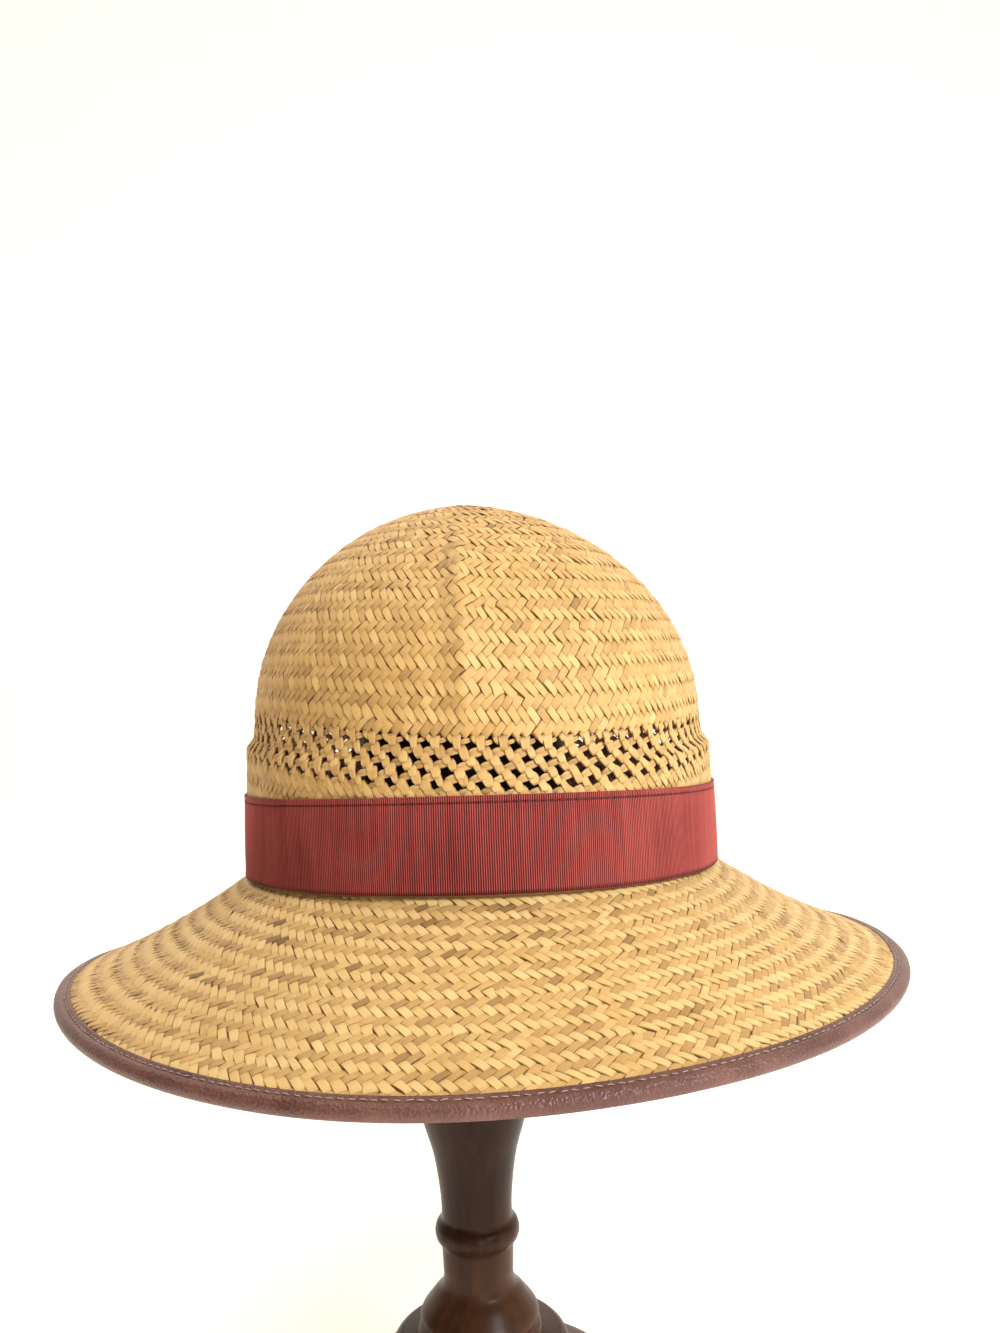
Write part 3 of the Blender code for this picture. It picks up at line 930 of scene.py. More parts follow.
# %% [markdown]
# The dome is three pieces: the wall that closes it, the floats outside, and flatter ones
# inside, which show through the holes. One thick plait would be truer, but its inner half
# would never be seen.

# %% Dome
CORE_FOOT, CORE_TOP, CORE_RINGS = 0.019, math.radians(89.5), 26

dome_core = closed_shell("dome_core", dome_surface, np.linspace(CORE_FOOT, CORE_TOP, CORE_RINGS), pole=True)
finish_piece(dome_core, shaded_core_straw, ["crown_dome"])
woven_skin("dome_weave", crown_straw, dome_surface, dome_rows, dome_numbers, rise_at,
           heights=(0.92, 0.84), reaches=(0.54, 0.46), lean_first=1)
woven_skin("dome_lining", shaded_straw, dome_surface, dome_rows, dome_numbers, rise_at,
           lean_first=1, **LINING)

# %% [markdown]
# A plaited crown starts at its very top, from a small flat square of crossed strands, and
# only then turns into rings. Rings alone would crowd into a point there. So the top has
# straight rows laid over a disc, made by the same tile maker: one turn of its angle
# stands for the width of the square.

# %% Top of the dome
TOP_COLUMNS, TOP_ROWS = 14, 11
TOP_WIDTH = TOP_COLUMNS * CROWN_SPACING
TOP_REACH, TOP_SQUEEZE = 14.8, 0.83  # the disc that is kept, and its width against its length
TOP_HEIGHTS = (1.15, 1.1)  # proud enough to cover the innermost rings


def top_place(angle):
    """Distance across the square: a whole turn of the angle is its width."""
    return (angle / FULL_TURN - 0.5) * TOP_WIDTH


def top_surface(angle, across):
    """The dome's top as a height over a plane: the share of the way from the axis gives
    the rise, by undoing the dome's own formula."""
    x, y = top_place(angle), across
    spread = np.sqrt((x / WALL_HALF_WIDTHS[0]) ** 2 + (y / WALL_HALF_LENGTHS[0]) ** 2)
    rise = np.arccos(np.clip(spread, 1e-4, 1) ** (1 / DOME_TAPER))
    foot = VENT_TOP + GAP / 2
    return np.stack([x + CROWN_LEAN * np.sin(rise) ** 3, y, foot + (CROWN_TOP - foot) * np.sin(rise)], -1)


def top_rows(count, columns):
    """Straight rows of evenly spaced floats, every other one half a column along."""
    return [(np.arange(columns) + 0.25 + 0.5 * (k % 2)) / columns * FULL_TURN for k in range(count)]


def near_axis(angle, row):
    """Keeps the floats inside an oval round the axis, by the length of their place."""
    return np.hypot(top_place(angle), row * ROW * TOP_SQUEEZE) < TOP_REACH


top_numbers = np.arange(TOP_ROWS) - TOP_ROWS // 2
woven_skin("top_weave", crown_straw, top_surface, top_rows(TOP_ROWS, TOP_COLUMNS), top_numbers,
           lambda angle, row: row * ROW, keep=near_axis, heights=TOP_HEIGHTS)

# %% [markdown]
# Below the dome the strands are gathered in pairs and crossed with air between them: four
# rows of holes, each row half a column along from the last. A picture of holes on a plain
# wall would be quicker, but daylight has to show through them, so they are real. First
# come the lines that the strands follow, measured along the crown's edge.

# %% Lines of the openwork
LEVELS = 4  # rows of holes
LEVEL = 3.75  # from one row of holes to the next
LEVEL_START, LEVEL_SADDLE, LEVEL_LEAN = 1.05, 0.55, 0.45


def level_depth(angle, level):
    """Depth of a level below the dome's edge: a fixed step for each level, and a slow
    wave of two cosines, since the first row of holes wanders a little."""
    return LEVEL_START - LEVEL_SADDLE * np.cos(2 * angle) + LEVEL_LEAN * np.cos(angle) + level * LEVEL


ring_angles = np.linspace(0, FULL_TURN, 1441)
ring_points = wall_surface(ring_angles, vent_top(ring_angles))
ring_length = np.concatenate([[0], np.cumsum(np.linalg.norm(np.diff(ring_points, axis=0), axis=1))])
GIRTH = ring_length[-1]
COLUMN = GIRTH / VENT_COLUMNS


def angle_round(distance):
    """Angle round the crown at a distance along its edge: whole girths are whole turns,
    and the rest is read from the edge's measured length."""
    turns, rest = np.divmod(distance, GIRTH)
    return np.interp(rest, ring_length, ring_angles) + turns * FULL_TURN


print(f"{VENT_COLUMNS} columns of holes, {COLUMN:.2f} mm apart")

# %% [markdown]
# One maker serves all the open strands. On the real hat each is a flat leaf that curls a
# little at its edges. A bevelled curve could be one, but there are over a thousand, so
# each is a small closed strip from arrays: eight points round a lens, carried along a
# short line and tapered at both ends.

# %% The shape of a strip
STRIP_TURN = np.array([-1.0, -0.82, 0.0, 0.82, 1.0, 0.62, 0.0, -0.62])  # across the strip
STRIP_TOP = np.array([0.0, 0.72, 1.0, 0.72, 0.0, -0.5, -0.6, -0.5])  # up from its middle
STRIP_CAP = np.array([[0, 1, 2, 7], [7, 2, 3, 6], [6, 3, 4, 5]])
STRIP_POINTS, STRIP_RIMS = 8, (1, 3)
STATIONS = 9  # places along a strip, each with its eight points
ON_CREASE = np.arange(STRIP_POINTS) == 2  # the middle of its upper face


def strip_thickness(s):
    """0.7 mm in the middle, less 0.2 mm times the square of s."""
    return 0.5 + 0.2 * (1 - s[:, None] ** 2)


def strip_shades(s, top, crease):
    """1, less what the ends, the underside, the side edges and the crease take from it."""
    # Painted shade: the ends, the underside, the side edges and the crease are darkened.
    shade = 1 - 0.6 * np.clip((np.abs(s) - 0.6) / 0.4, 0, 1)[:, None] - 0.9 * (top < 0) - 0.85 * (top == 0)
    return np.clip(shade - 0.5 * crease * ON_CREASE, 0, 1)


print(f"strips are up to {strip_thickness(np.zeros(1)).max() * np.ptp(STRIP_TOP):.2f} mm thick")

# %% Strips of the openwork
def open_strips(name, levels, lean, line, half_width, lift, crease=0.0, replaces=()):
    """A finished set of strips, one at every column of some levels, whose middles move
    half a column along for each level. s is the share along a strip, from -1 to 1: its
    shifts across and down, its half width and its height over the wall are functions of
    it. The lens is laid across the line by the line's own slope."""
    s = np.linspace(-1, 1, STATIONS)
    column, level = (a.ravel()[:, None] for a in np.meshgrid(np.arange(VENT_COLUMNS), levels))
    n = len(column)
    wobble = np.clip(random.normal(0, 1, (6, n, 1)), -2, 2)
    across, down = line(s)
    size = 1 + 0.08 * wobble[5]
    distance = (column + 0.5 - lean * level / 2) * COLUMN + across * size + 0.2 * wobble[0]
    depth = level_depth(angle_round(distance), level) + down * size + 0.16 * wobble[1]
    run, fall = np.gradient(distance, axis=1), np.gradient(depth, axis=1)
    step = np.hypot(run, fall)
    off = STRIP_TURN * (half_width(s) * (1 + 0.13 * wobble[2]))[..., None]
    distance = distance[..., None] + off * (fall / step)[..., None]
    depth = depth[..., None] - off * (run / step)[..., None]
    top = STRIP_TOP - crease * ON_CREASE
    over = (lift(s) + 0.07 * wobble[3] + 0.1 * wobble[4] * s)[..., None] + strip_thickness(s) * top
    angle = angle_round(distance)
    points = on_surface(wall_surface, angle, vent_top(angle) - depth, over)
    ring = grid_faces(STATIONS, STRIP_POINTS, wrap_columns=True)
    faces = np.concatenate([ring, STRIP_CAP[:, ::-1], STRIP_CAP + (STATIONS - 1) * STRIP_POINTS])
    faces = repeated_faces(faces, n, STATIONS * STRIP_POINTS)
    u = STRIP_TURN * 1.2 + 40 * wobble[5][..., None]
    v = (s * 2.5 + 30 * wobble[2])[..., None]
    uv = np.stack([np.broadcast_to(part, over.shape) for part in (u, v)], -1)
    values = {"tone": wobble[4][..., None], "shade": strip_shades(s, top, crease),
              "weft": np.float64(lean > 0)}
    values = {key: np.broadcast_to(value, over.shape) for key, value in values.items()}
    piece = mesh_object(name, points, faces, uv, values)
    crisp_rims(piece, STATIONS, STRIP_POINTS, STRIP_RIMS)
    finish_piece(piece, crown_straw, replaces)


print("a strip has", STATIONS * STRIP_POINTS, "points")

# %% [markdown]
# The strands that lean down to the right stand steeply and cross in front: a float on
# each slanting side of a hole and one between neighbouring holes, each tucked under the
# end of the one above, so that they look like a rope of two. The other strands cross
# behind as short, almost level leaves. Laying each by hand would take days; each kind is
# a few polynomials instead, repeated round the crown.

# %% Openwork band
def rope_width(s):
    """Half width: 1.44 mm, less a tenth of s, less 0.55 times its square."""
    return 1.44 - 0.55 * s * s - 0.1 * s


def rope_lift(s):
    """Height over the wall: 0.34 mm, more towards the lower end, less at both ends."""
    return 0.34 - 0.35 * s * s + 0.28 * s


HOLE_MIDDLES, HOLE_ENDS = np.arange(0.5, LEVELS), np.arange(1.0, LEVELS)

open_strips("vent_leaves", HOLE_MIDDLES, 1, crease=0.5, replaces=["vent_band"],
            line=lambda s: (-2.1 * s, 0.6 * s + 0.3 * s * s + 0.3 * s ** 3 - 0.35),
            half_width=lambda s: 1.22 - 0.4 * s * s, lift=lambda s: -0.45 * s * s)
open_strips("vent_ropes", HOLE_MIDDLES, -1, crease=0.25,
            line=lambda s: (0.66 * s - 0.1, 1.95 * s),
            half_width=rope_width, lift=rope_lift)
open_strips("vent_knots", HOLE_ENDS, -1,
            line=lambda s: (0.62 * s + 0.3, 1.8 * s),
            half_width=rope_width, lift=lambda s: rope_lift(s) - 0.1)

# %% [markdown]
# At the top, where the close plait opens, an upright strand gathers each pair. It has a
# short level leaf on its right and the last bit of a slanting strand on its left. They
# could be left out, but then the first holes would open straight under the dome's edge,
# and its plait would look cut.

# %% Top row of the openwork
FIRST_LEVEL, ABOVE_FIRST = np.array([0.0]), np.array([-0.5])

open_strips("vent_posts", FIRST_LEVEL, -1, crease=0.3,
            line=lambda s: (0.2 * s, 2.2 * s - 0.95),
            half_width=lambda s: 1.36 - 0.34 * s + 0.06 * s * s, lift=lambda s: 0.5 - 0.4 * s * s)
open_strips("vent_top_leaves", ABOVE_FIRST, 1, crease=0.5,
            line=lambda s: (0.35 - 1.5 * s, 0.5 * s + 0.55),
            half_width=lambda s: 0.8 - 0.3 * s * s, lift=lambda s: -0.1 - 0.3 * s * s)
open_strips("vent_top_ends", ABOVE_FIRST, -1,
            line=lambda s: (0.95 * s - 0.1, 1.25 * s - 0.1),
            half_width=lambda s: 0.95 - 0.3 * s * s, lift=lambda s: 0.05 - 0.3 * s * s)

# %% [markdown]
# Under the holes the close plait begins again, down to the brim. Only a few rows show
# above the ribbon, at the sides. Tiles behind the ribbon would be thousands of faces that
# nobody sees, so only the inner face is tiled there.

# %% Wall below the openwork
RIBBON_FOOT, RIBBON_WIDTH = 1.4, 28.2  # its lower edge over the join line, and its width
WALL_START = 3.4  # the openwork's level at which close plaiting starts again
BEHIND_RIBBON = 2.5  # how far the floats carry on behind its upper edge


def wall_height_at(angle, row):
    """Height of a row that counts upwards from where the close plait starts."""
    return vent_top(angle) - level_depth(angle, WALL_START) + (row - 0.55) * ROW


def above_ribbon(angle, row):
    """Keeps the floats whose height is over the ribbon's upper edge, or just behind it."""
    return wall_height_at(angle, row) > join_height(angle) + RIBBON_FOOT + RIBBON_WIDTH - BEHIND_RIBBON


def wall_rows(count):
    """Rows of twice the openwork's columns, every other row half a float along."""
    step = COLUMN / 2
    return [angle_round((np.arange(2 * VENT_COLUMNS) + 0.5 * (k % 2)) * step) for k in range(count)]


def wall_by_share(angle, share):
    """The wall from its foot (share 0) to the openwork's lower line (share 1)."""
    low = join_height(angle) + GAP
    return wall_surface(angle, low + share * (vent_top(angle) - VENT_HEIGHT - GAP - low))


wall_numbers = np.arange(-8, 1)
wall_core = closed_shell("wall_core", wall_by_share, np.linspace(0, 1, 12))
finish_piece(wall_core, shaded_core_straw, ["crown_wall"])
woven_skin("wall_weave", crown_straw, wall_surface, wall_rows(len(wall_numbers)), wall_numbers,
           wall_height_at, keep=above_ribbon, heights=(0.85, 0.8))
woven_skin("wall_lining", shaded_straw, wall_surface, wall_rows(len(wall_numbers)), wall_numbers,
           wall_height_at, **LINING)

# %% [markdown]
# The brim's rows are rings too, about ten pairs of them between the crown and the edge,
# a little closer together near the crown. Rings at equal steps would be simpler, but on
# the real hat the first ring doesn't follow the crown's foot: in front it lies further
# out, and the rings between share out the difference.

# %% Brim rows
BRIM_SPACING = 3.78  # from one column of floats to the next
RING_TURN = math.radians(-75)  # where the first ring lies furthest out
FIRST_RING, LAST_RING = 0.045, 0.93  # their mean shares of the way out
RING_PAIRS, RING_PAIRS_SWING = 10.05, 0.5  # pairs of rows, and how many more they are there
CLOSER = 0.15  # how much the rings close up towards the crown
ROWS_READ_AT = 0.8  # the angle whose shares give each row its number of floats
EDGE_START, EDGE_COVER = 0.925, 0.95  # where the leather edge begins and covers all


def share_at(angle, row):
    """Share of the way out for a row number, which counts up towards the crown: from the
    first ring to the last, mostly in proportion to the pairs of rows passed, and partly
    to their square."""
    further = np.cos(2 * (angle - RING_TURN))
    first = FIRST_RING + FIRST_RING * further
    along = -row / 2 / (RING_PAIRS + RING_PAIRS_SWING * further)
    return first + (LAST_RING - first) * ((1 - CLOSER) * along + CLOSER * along * np.abs(along))


def under_edge(angle, share):
    """The floats are pressed flat where the leather edge holds them: 0.4 of their height
    is left, reached by a smooth step."""
    return 1 - 0.6 * smoothstep(EDGE_START, EDGE_COVER, share)


def brim_part(low_row, high_row):
    """Keeps the floats of some rows that lie between the crown and the leather edge."""
    def keep(angle, row):
        """True where a float's middle lies in that part."""
        share = share_at(angle, row)
        return (share > -0.03) & (share < EDGE_COVER) & (row > low_row) & (row < high_row)
    return keep


brim_numbers = np.arange(-22, 4)
brim_rows = plait_rows(brim_surface, share_at(ROWS_READ_AT, brim_numbers[::-1]), BRIM_SPACING)[::-1]
print(len(brim_rows), "rows,", sum(len(r) for r in brim_rows), "floats on the brim")

# %% [markdown]
# The brim's paler strands lie proud and round, and the darker ones that cross them are
# flatter. All its floats would nearly fill what one piece should hold, so they are split
# at a row into an inner and an outer part.

# %% Brim weave
ANY_ROW, SPLIT_ROW = 99, -12.5

brim_core = closed_shell("brim_core", brim_surface, np.linspace(1.0, 0.0, 16))
finish_piece(brim_core, shaded_core_straw, ["brim"])
for half, low_row, high_row in (("outer", -ANY_ROW, SPLIT_ROW), ("inner", SPLIT_ROW, ANY_ROW)):
    woven_skin(f"brim_{half}_weave", brim_straw, brim_surface, brim_rows, brim_numbers, share_at,
               keep=brim_part(low_row, high_row), sink=under_edge,
               heights=(0.85, 0.74), reaches=(0.55, 0.48), roll=0.06)
woven_skin("brim_lining", inner_straw, brim_surface, brim_rows, brim_numbers, share_at,
           keep=brim_part(-ANY_ROW, ANY_ROW), **LINING)

# %% [markdown]
# The ribbon is grosgrain: a weft thicker than the warp gives it fine upright ribs, and
# each edge is a firm, smoother selvedge. A bump could draw the ribs, but they catch the
# light one by one, so they are real waves in its outer face, four points to a rib. It is
# a closed strip: up the outer face, over the edge and down the inner face.

# %% Ribbon
RIB = 0.72  # from rib to rib
RIB_COUNT = round(GIRTH * 1.025 / RIB)  # the ribbon lies on a girth 2.5% longer
RIBBON_OUT, RIBBON_IN = 1.5, 0.8  # its two faces' distance off the wall's formula
RIBBON_SEAM = 0.93  # its stitches' share of the way up
OUTER_SHARES = np.array([0.0, 0.015, 0.05, 0.3, 0.62, 0.88, 0.915, RIBBON_SEAM, 0.945, 0.96, 0.99, 1.0])
INNER_SHARES = np.array([1.0, 0.5, 0.0])


def ribbon_surface(angle, share):
    """The ribbon follows the wall from just above the brim: share 0 is its lower edge."""
    return wall_surface(angle, join_height(angle) + RIBBON_FOOT + RIBBON_WIDTH * share)


def ribbon_outward(angle, share):
    """How far the outer face stands off the wall: a slow swell of two sines, ribs of one
    cosine that die away at the selvedges, a groove drawn in by the stitches, which is a
    bell curve, and a slightly raised top edge."""
    slow = 0.12 * np.sin(3 * angle + 1) + 0.08 * np.sin(7 * angle + 5 * share)
    inner = smoothstep(0.0, 0.04, share) * (1 - smoothstep(0.975, 1, share))
    ribs = 0.12 * np.cos(RIB_COUNT * angle) * (0.35 + 0.65 * inner)
    groove = -0.22 * np.exp(-((share - RIBBON_SEAM) / 0.009) ** 2)
    edge = 0.1 * np.exp(-((share - 0.015) / 0.012) ** 2) + 0.16 * smoothstep(0.95, 1, share)
    return RIBBON_OUT + slow * inner + ribs + groove + edge


shares = np.concatenate([OUTER_SHARES, INNER_SHARES])
ribbon_turn = np.linspace(0, FULL_TURN, 4 * RIB_COUNT, endpoint=False)
turn, share = np.meshgrid(ribbon_turn, shares)
outward = ribbon_outward(turn, share)
outward[-len(INNER_SHARES):] = RIBBON_IN
ribbon_points = on_surface(ribbon_surface, turn, share, outward)
ribbon_uv = np.stack([turn / FULL_TURN * RIB_COUNT * RIB, share * RIBBON_WIDTH], -1)
on_outer = (np.arange(len(shares)) < len(OUTER_SHARES))[:, None]
# Painted highlight and shade: rib crests lighter, grooves and the stitch groove darker; the lowest edge is
# darker.
ribbon_shade = 0.5 + 0.5 * np.cos(RIB_COUNT * turn) * on_outer
ribbon_shade = ribbon_shade - 0.5 * np.exp(-((share - RIBBON_SEAM) / 0.008) ** 2) - 0.3 * (share < 0.02)
hat_ribbon = mesh_object("ribbon", ribbon_points, grid_faces(len(shares), len(ribbon_turn), True, True),
                         ribbon_uv, {"shade": ribbon_shade})
print(RIB_COUNT, "ribs")

# %% [markdown]
# The cloth is a dull, deep red, painted brighter on the ribs' crests and darker between
# them, a painted highlight and a painted shade, with fine threads, faint upright streaks
# and worn, paler clouds. A woven look from one checker pattern would be too even, so the
# painted shade of each rib and three noises share it.

# %% Ribbon cloth
ribbon_cloth, tree, shader = new_material("ribbon_cloth", {
    "Roughness": 0.5, "Specular IOR Level": 0.12, "Sheen Weight": 0.06})
uv = along_piece(tree)
threads = stretched_noise(tree, uv, (2.6, 9.0, 1.0))
streaks = stretched_noise(tree, uv, (0.8, 0.025, 1.0), 1.0, 2.0)
wear = stretched_noise(tree, in_object(tree), EVEN, 22.0, 4.0)
# Painted highlight on the rib crests and painted shade between them and in the stitch groove.
crest = maths(tree, "MULTIPLY", attribute(tree, "shade"), 0.8)
value = maths(tree, "ADD", crest, maths(tree, "MULTIPLY", threads, 0.4))
value = varied(tree, varied(tree, value, wear, 0.5), streaks, 0.3)
cloth_color = color_ramp(tree, value, (
    (0.1, (0.018, 0.001, 0.001)), (0.55, (0.145, 0.014, 0.012)), (1.0, (0.62, 0.13, 0.11))))
tree.links.new(cloth_color, shader.inputs["Base Color"])
bump(tree, shader, threads, 0.3, 0.0002)
finish_piece(hat_ribbon, ribbon_cloth, ["hat_ribbon"])

# %% [markdown]
# Both the ribbon and the edge are sewn with a plain running stitch. Each stitch is a
# small bead of thread, round in section and thinner at its ends, laid end to end with a
# gap where the thread goes through. A dashed line in the finish would lie flat, so the
# beads are real, and one maker serves both seams.

# %% Beads along a seam
BEAD_ALONG = np.array([-1.0, -0.7, 0.0, 0.7, 1.0])
BEAD_PLUMP = np.array([0.25, 0.85, 1.0, 0.85, 0.25])  # its thickness at each place along
BEAD_ROUND = 6


def seam_frame(point_at, angle, up):
    """Points of a seam, each with a unit frame: along it, outward, and the third way,
    which is their cross product. Each direction is a tiny step scaled to length 1."""
    point = point_at(angle, up)
    ahead = unit(point_at(angle + NUDGE, up) - point)
    out = unit(point_at(angle, up + 10 * NUDGE) - point)
    return point, ahead, out, np.cross(ahead, out)


def seam(name, point_at, up, to_angle, count, length, radius, material):
    """Beads along a closed seam, six points round by five along. point_at gives the seam
    at an angle and a height over its surface, and to_angle spreads the turns from 0 to 1
    round the hat."""
    along = BEAD_ALONG[:, None, None]
    plump = BEAD_PLUMP[:, None, None]
    round_turn = np.arange(BEAD_ROUND) / BEAD_ROUND * FULL_TURN
    turns = (np.arange(count) + 0.06 * random.normal(0, 1, count)) / count
    frame_at = seam_frame(point_at, to_angle(turns), up)
    point, ahead, out, side = (a[:, None, None, :] for a in frame_at)
    slack = random.normal(0, 1, (3, count, 1, 1, 1))
    offset = ahead * along * (length / 2) + side * along * 0.12 * slack[0]
    ring = out * np.sin(round_turn)[:, None] + side * np.cos(round_turn)[:, None]
    points = point + offset + ring * (plump * radius)
    points = points + out * (0.06 * slack[1] + 0.12 * (1 - along ** 2))
    faces = grid_faces(len(along), BEAD_ROUND, wrap_columns=True)[:, ::-1]
    cap = np.array([[0, 1, 2, 3], [0, 3, 4, 5]])
    faces = np.concatenate([faces, cap, cap[:, ::-1] + (len(along) - 1) * BEAD_ROUND])
    uv = np.broadcast_to(along, (count, len(along), BEAD_ROUND, 2)) * 2.0
    piece = mesh_object(name, points, repeated_faces(faces, count, len(along) * BEAD_ROUND), uv)
    finish_piece(piece, material)
    return piece


print("a bead has", len(BEAD_ALONG) * BEAD_ROUND, "points")

# %% Thread
def thread_material(name, color, roughness):
    """Twisted thread: a noise picks between the colour and about half of it."""
    material, tree, shader = new_material(name, {"Roughness": roughness})
    twist = stretched_noise(tree, along_piece(tree), (3.0, 3.0, 1.0))
    dark = tuple(0.55 * c for c in color)
    tree.links.new(color_ramp(tree, twist, ((0.35, dark), (0.65, color))), shader.inputs["Base Color"])
    bump(tree, shader, twist, 0.4, 0.0002)
    return material


ribbon_thread = thread_material("ribbon_thread", (0.1, 0.012, 0.012), 0.6)
edge_thread = thread_material("edge_thread", (0.58, 0.44, 0.39), 0.4)
print("thread of", len(edge_thread.node_tree.nodes), "nodes")

# %% [markdown]
# The ribbon's stitches lie in the groove under its upper edge, in thread of its own red.
# Equal steps of the angle would crowd them at the front and the back, so the seam is
# measured along the crown's edge instead.

# %% Ribbon seam
RIBBON_STITCHES = 222

ribbon_seam = seam(
    "ribbon_seam", lambda angle, up: on_surface(ribbon_surface, angle, RIBBON_SEAM, up), 1.22,
    lambda turns: angle_round(turns * GIRTH), RIBBON_STITCHES, 2.0, 0.2, ribbon_thread)

# %% [markdown]
# The edge is bound with a strip of soft leather folded round the rim and sewn through
# near its inner edge. A bevelled curve would give it one round section all the way, but
# the real one is flat and thin at the stitches and puffed up where it turns over the rim.
# So it is its own section, carried round the brim.

# %% Leather edge section
EDGE_WIDTH = 4.5
EDGE_SEAM = 2.9  # the stitches' distance in from the rim
EDGE_ABOVE = (  # distance in from the rim, height over the brim's upper face
    (EDGE_WIDTH, 0.1), (4.45, 0.8), (4.25, 0.98), (3.6, 0.92), (EDGE_SEAM, 0.68),
    (2.5, 0.9), (2.0, 1.2), (1.4, 1.35), (0.8, 1.25), (0.3, 1.08))
EDGE_BELOW = (
    (0.4, -2.8), (0.9, -2.9), (1.5, -2.9), (2.2, -2.8), (EDGE_SEAM, -2.55),
    (4.2, -2.75), (4.45, -2.6), (EDGE_WIDTH, -1.9))


def edge_section():
    """From the inner edge above, over the rim by half an ellipse, to the inner edge below;
    closing the ring joins the two inside the brim."""
    turn = np.linspace(math.pi / 2, -math.pi / 2, 9)
    over_rim = np.stack([0.1 - 1.25 * np.cos(turn), -0.9 + 1.8 * np.sin(turn)], -1)
    return np.concatenate([EDGE_ABOVE, over_rim, EDGE_BELOW]).T


def edge_surface(angle, inward, upward):
    """Points by their distance in from the rim along the brim and over its face: the
    distance is turned into a share of the slope's length at that angle."""
    rim = brim_surface(angle, np.ones_like(angle))
    tenth_in = brim_surface(angle, np.full_like(angle, 0.9))
    reach = np.linalg.norm(rim - tenth_in, axis=-1) * 10
    return on_surface(brim_surface, angle, 1 - inward / reach, upward)


section_in, section_up = edge_section()
print("leather section of", len(section_in), "points")

# %% [markdown]
# Soft leather is never even: each stitch draws it in a little, and the puffed fold swells
# and sinks slowly along the rim. Both are sums of plain waves, since a random wobble
# would look lumpy and would not close on itself after a turn.

# %% Leather edge
EDGE_STITCHES = 340
EDGE_COLUMNS = 720

edge_angles = np.linspace(0, FULL_TURN, EDGE_COLUMNS, endpoint=False)
edge_turn, edge_in = np.meshgrid(edge_angles, section_in)
edge_up = np.broadcast_to(section_up[:, None], edge_turn.shape).copy()
puckers = 0.1 * np.cos(EDGE_STITCHES * edge_turn) * np.exp(-((edge_in - EDGE_SEAM) / 0.9) ** 2)
swell = 0.10 * np.sin(5 * edge_turn + 1) + 0.07 * np.sin(13 * edge_turn) + 0.04 * np.sin(31 * edge_turn + 2)
fold = np.exp(-((edge_in - 1.2) / 1.4) ** 2)
edge_up += np.where(edge_up > -1, 1, -1) * (puckers + swell * fold)
section_steps = np.concatenate([[0], np.cumsum(np.hypot(np.diff(section_in), np.diff(section_up)))])
edge_uv = np.stack([edge_turn / FULL_TURN * 1000,
                    np.broadcast_to(section_steps[:, None], edge_turn.shape)], -1)
edge_faces = grid_faces(len(section_in), EDGE_COLUMNS, True, True)[:, ::-1]
edge_piece = mesh_object("leather_edge", edge_surface(edge_turn, edge_in, edge_up), edge_faces, edge_uv)
print("leather edge of", len(edge_faces), "faces")

# %% [markdown]
# The leather is a dusty brown with a fine grain of tiny cells. Cells from noise would be
# too soft, so a Voronoi texture makes them, and a broad noise gives the worn, paler and
# drier places.

# %% Leather
leather, tree, shader = new_material("edge_leather", {"Specular IOR Level": 0.36})
place = in_object(tree)
grain = add_node(tree, "ShaderNodeTexVoronoi", feature="F1", Scale=1300.0)
tree.links.new(place, grain.inputs["Vector"])
wear = stretched_noise(tree, place, EVEN, 60.0, 4.0)
leather_color = color_ramp(tree, wear, (
    (0.25, (0.1, 0.038, 0.028)), (0.55, (0.165, 0.068, 0.051)), (0.85, (0.26, 0.122, 0.096))))
tree.links.new(leather_color, shader.inputs["Base Color"])
tree.links.new(between(tree, wear, 0.26, 0.51), shader.inputs["Roughness"])
cells = maths(tree, "MULTIPLY", grain.outputs["Distance"], 0.6)
bump(tree, shader, maths(tree, "ADD", cells, maths(tree, "MULTIPLY", wear, 0.6)), 0.8, 0.0005)
finish_piece(edge_piece, leather, ["brim_binding"])

# %% [markdown]
# The leather is sewn with a paler, waxed thread. Stitches spaced by length would slide
# out of the puckers made for them above, which are steps of equal angle, so they take the
# same steps.

# %% Edge seam
seam("edge_seam", lambda angle, up: edge_surface(angle, EDGE_SEAM, up), 0.86,
     lambda turns: turns * FULL_TURN, EDGE_STITCHES, 1.9, 0.17, edge_thread)

# %% [markdown]
# The stand is turned on a lathe, so each part is a profile carried round an axis. Blender
# has a Screw modifier for that, but a grid closes its ends too and needs no merging. The
# profile's points are joined by a smooth curve, since a lathe tool leaves rounded coves
# and beads.

# %% Profiles of the stand
POST_PROFILE = (  # radius, height
    (37.2, 180.8), (37.8, 178.3), (36.2, 172.8), (31.4, 158.8), (26.6, 142.8), (22.2, 128.8),
    (18.6, 116.8), (15.9, 107.8), (14.3, 98.8), (13.4, 90.8), (13.2, 85.2), (13.5, 82.8),
    (15.1, 81.0), (15.8, 78.4), (15.2, 75.8), (13.7, 73.9), (13.3, 70.5), (13.1, 65.0),
    (13.0, 61.8), (14.0, 58.3), (16.8, 55.4), (19.4, 52.3), (21.6, 49.4), (22.1, 47.2),
    (21.2, 44.9), (22.4, 43.6), (23.2, 42.0), (23.2, 39.3))
BASE_PROFILE = (
    (30.5, 39.0), (32.5, 37.6), (33.0, 35.0), (33.0, 28.5), (36.0, 24.5), (42.0, 20.5),
    (50.0, 16.5), (58.0, 14.0), (61.0, 11.5), (62.0, 8.0), (62.0, 1.5), (60.5, 0.0))
HEAD_RADIUS = 38.0
HEAD_SIDE = (
    (HEAD_RADIUS, 300.0), (HEAD_RADIUS, 290.0), (HEAD_RADIUS, 190.0), (HEAD_RADIUS, 184.5),
    (37.7, 182.6), (36.6, 181.1))


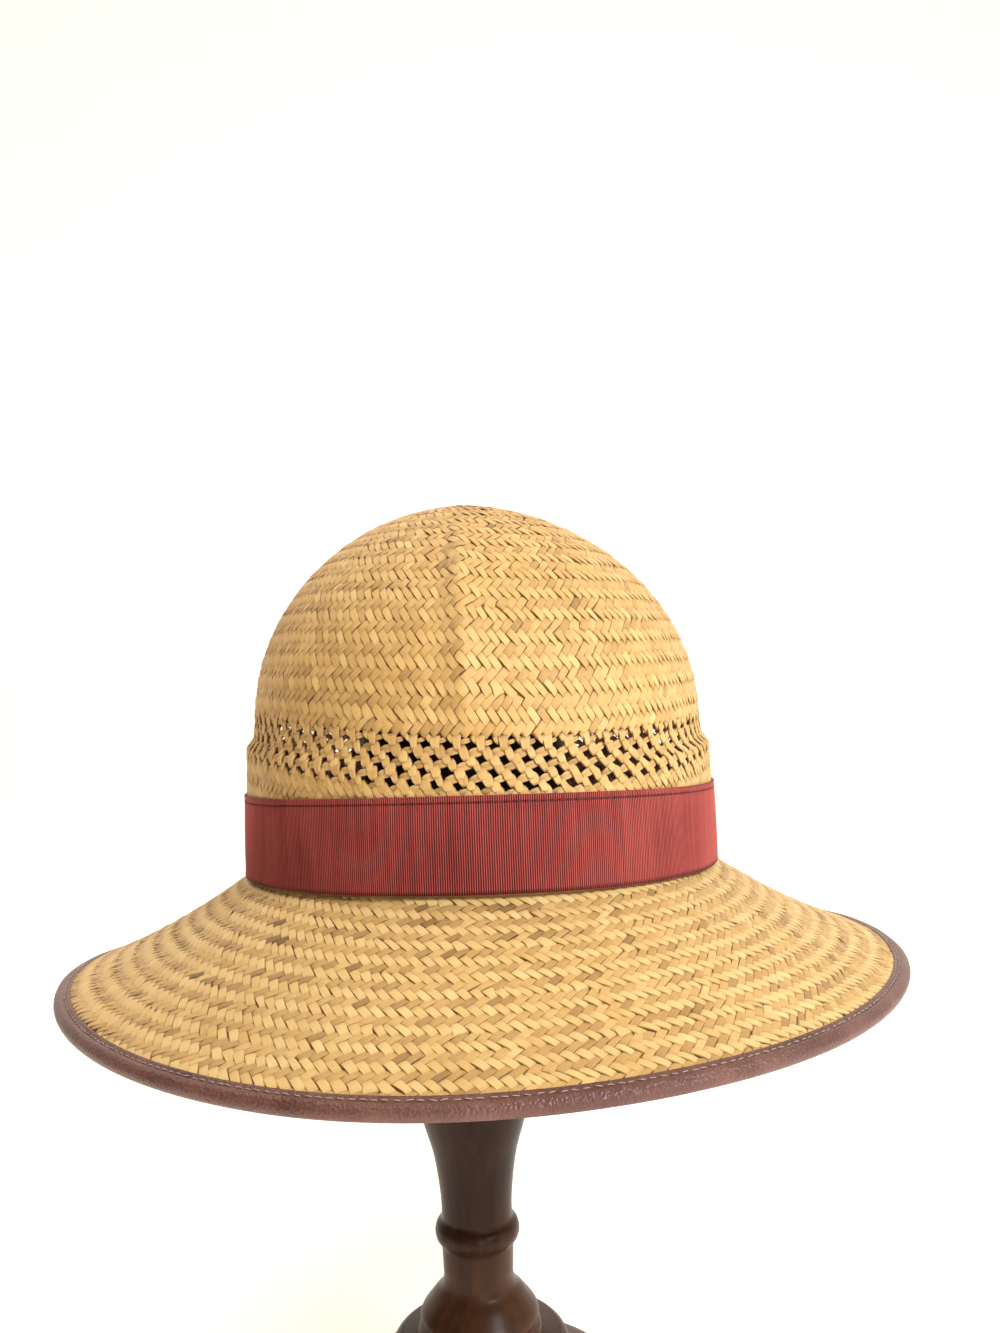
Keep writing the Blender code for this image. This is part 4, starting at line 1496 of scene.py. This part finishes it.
def head_profile():
    """A quarter circle down from the top, a straight side and a small chamfer."""
    turn = np.radians([2, 15, 30, 45, 60, 75, 90])
    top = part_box("stand_head")[1].z / MM
    around = np.stack([HEAD_RADIUS * np.sin(turn), top - HEAD_RADIUS * (1 - np.cos(turn))], -1)
    return np.concatenate([around, HEAD_SIDE])


print("post turned from", len(POST_PROFILE), "points")

# %% Turning
def smooth_profile(points, steps=5):
    """A Catmull-Rom curve through the points: each stretch is a cubic whose slope at a
    point is half the step between its neighbours."""
    p = np.array(points)
    p = np.concatenate([p[:1], p, p[-1:]])
    t = np.linspace(0, 1, steps, endpoint=False)[None, :, None]
    a, b, c, d = (p[i:len(p) - 3 + i, None] for i in range(4))
    square, cube = 2 * a - 5 * b + 4 * c - d, 3 * b - a - 3 * c + d
    curve = 0.5 * (2 * b + (c - a) * t + square * t ** 2 + cube * t ** 3)
    return np.concatenate([curve.reshape(-1, 2), p[-1:]])


def turned(name, profile, material, node, columns=128):
    """A profile of (radius, height) from top to bottom, carried round the axis: radius
    times the cosine and the sine of the angle, with flat discs closing both ends."""
    profile = smooth_profile(profile)
    angle = np.linspace(0, FULL_TURN, columns, endpoint=False)
    radius, height = profile[:, :1], profile[:, 1:]
    points = np.stack([radius * np.cos(angle), radius * np.sin(angle), height + 0 * angle], -1)
    walls = grid_faces(len(profile), columns, wrap_columns=True)[:, ::-1]
    piece = mesh_object(name, points, [walls, ring_caps(0, len(profile) - 1, columns)])
    finish_piece(piece, material, [node])


print("a curve of", len(smooth_profile(POST_PROFILE)), "points runs through them")

# %% [markdown]
# The wood is a dark stain under a thin, soft varnish. Stain gathers in the grain, which
# runs up the stand, and the colour is painted darker towards the top, a painted shade for
# the shadow under the brim. A wave texture would draw regular rings, so the grain is a
# noise stretched along the axis.

# %% Dark wood
WOOD_STOPS = (
    (0.3, (0.010, 0.005, 0.0035)), (0.5, (0.034, 0.0145, 0.008)),
    (0.72, (0.10, 0.042, 0.02)), (0.95, (0.15, 0.066, 0.032)))

dark_wood, tree, shader = new_material("dark_wood", {
    "Specular IOR Level": 0.12, "Coat Weight": 0.04, "Coat Roughness": 0.25})
place = in_object(tree)
grain = stretched_noise(tree, place, (260.0, 260.0, 9.0), 1.0, 4.0)
clouds = stretched_noise(tree, place, (1.0, 1.0, 0.6), 26.0)
value = maths(tree, "ADD", maths(tree, "MULTIPLY", grain, 0.24), maths(tree, "MULTIPLY", clouds, 0.5))
split = add_node(tree, "ShaderNodeSeparateXYZ")
tree.links.new(place, split.inputs[0])
# Painted shade: above its lower parts the wood grows darker with height, for the shadow under the brim.
lower = maths(tree, "SUBTRACT", 0.44, maths(tree, "MULTIPLY", split.outputs["Z"], 2.8))
value = maths(tree, "ADD", value, maths(tree, "MINIMUM", lower, 0.26))
tree.links.new(color_ramp(tree, value, WOOD_STOPS), shader.inputs["Base Color"])
tree.links.new(between(tree, clouds, 0.24, 0.44), shader.inputs["Roughness"])
bump(tree, shader, grain, 0.12, 0.0004)
print("wood of", len(tree.nodes), "nodes")

# %% [markdown]
# Post, base and head are turned apart, as a turner would, and stand on each other with a
# hair of air between them. One long profile could make all three, but each stands for a
# solid of its own. The head is hidden in the hat, and holds the crown up.

# %% Turned stand
turned("turned_post", POST_PROFILE, dark_wood, "stand_post")
turned("turned_base", BASE_PROFILE, dark_wood, "stand_base")
turned("turned_head", head_profile(), dark_wood, "stand_head")
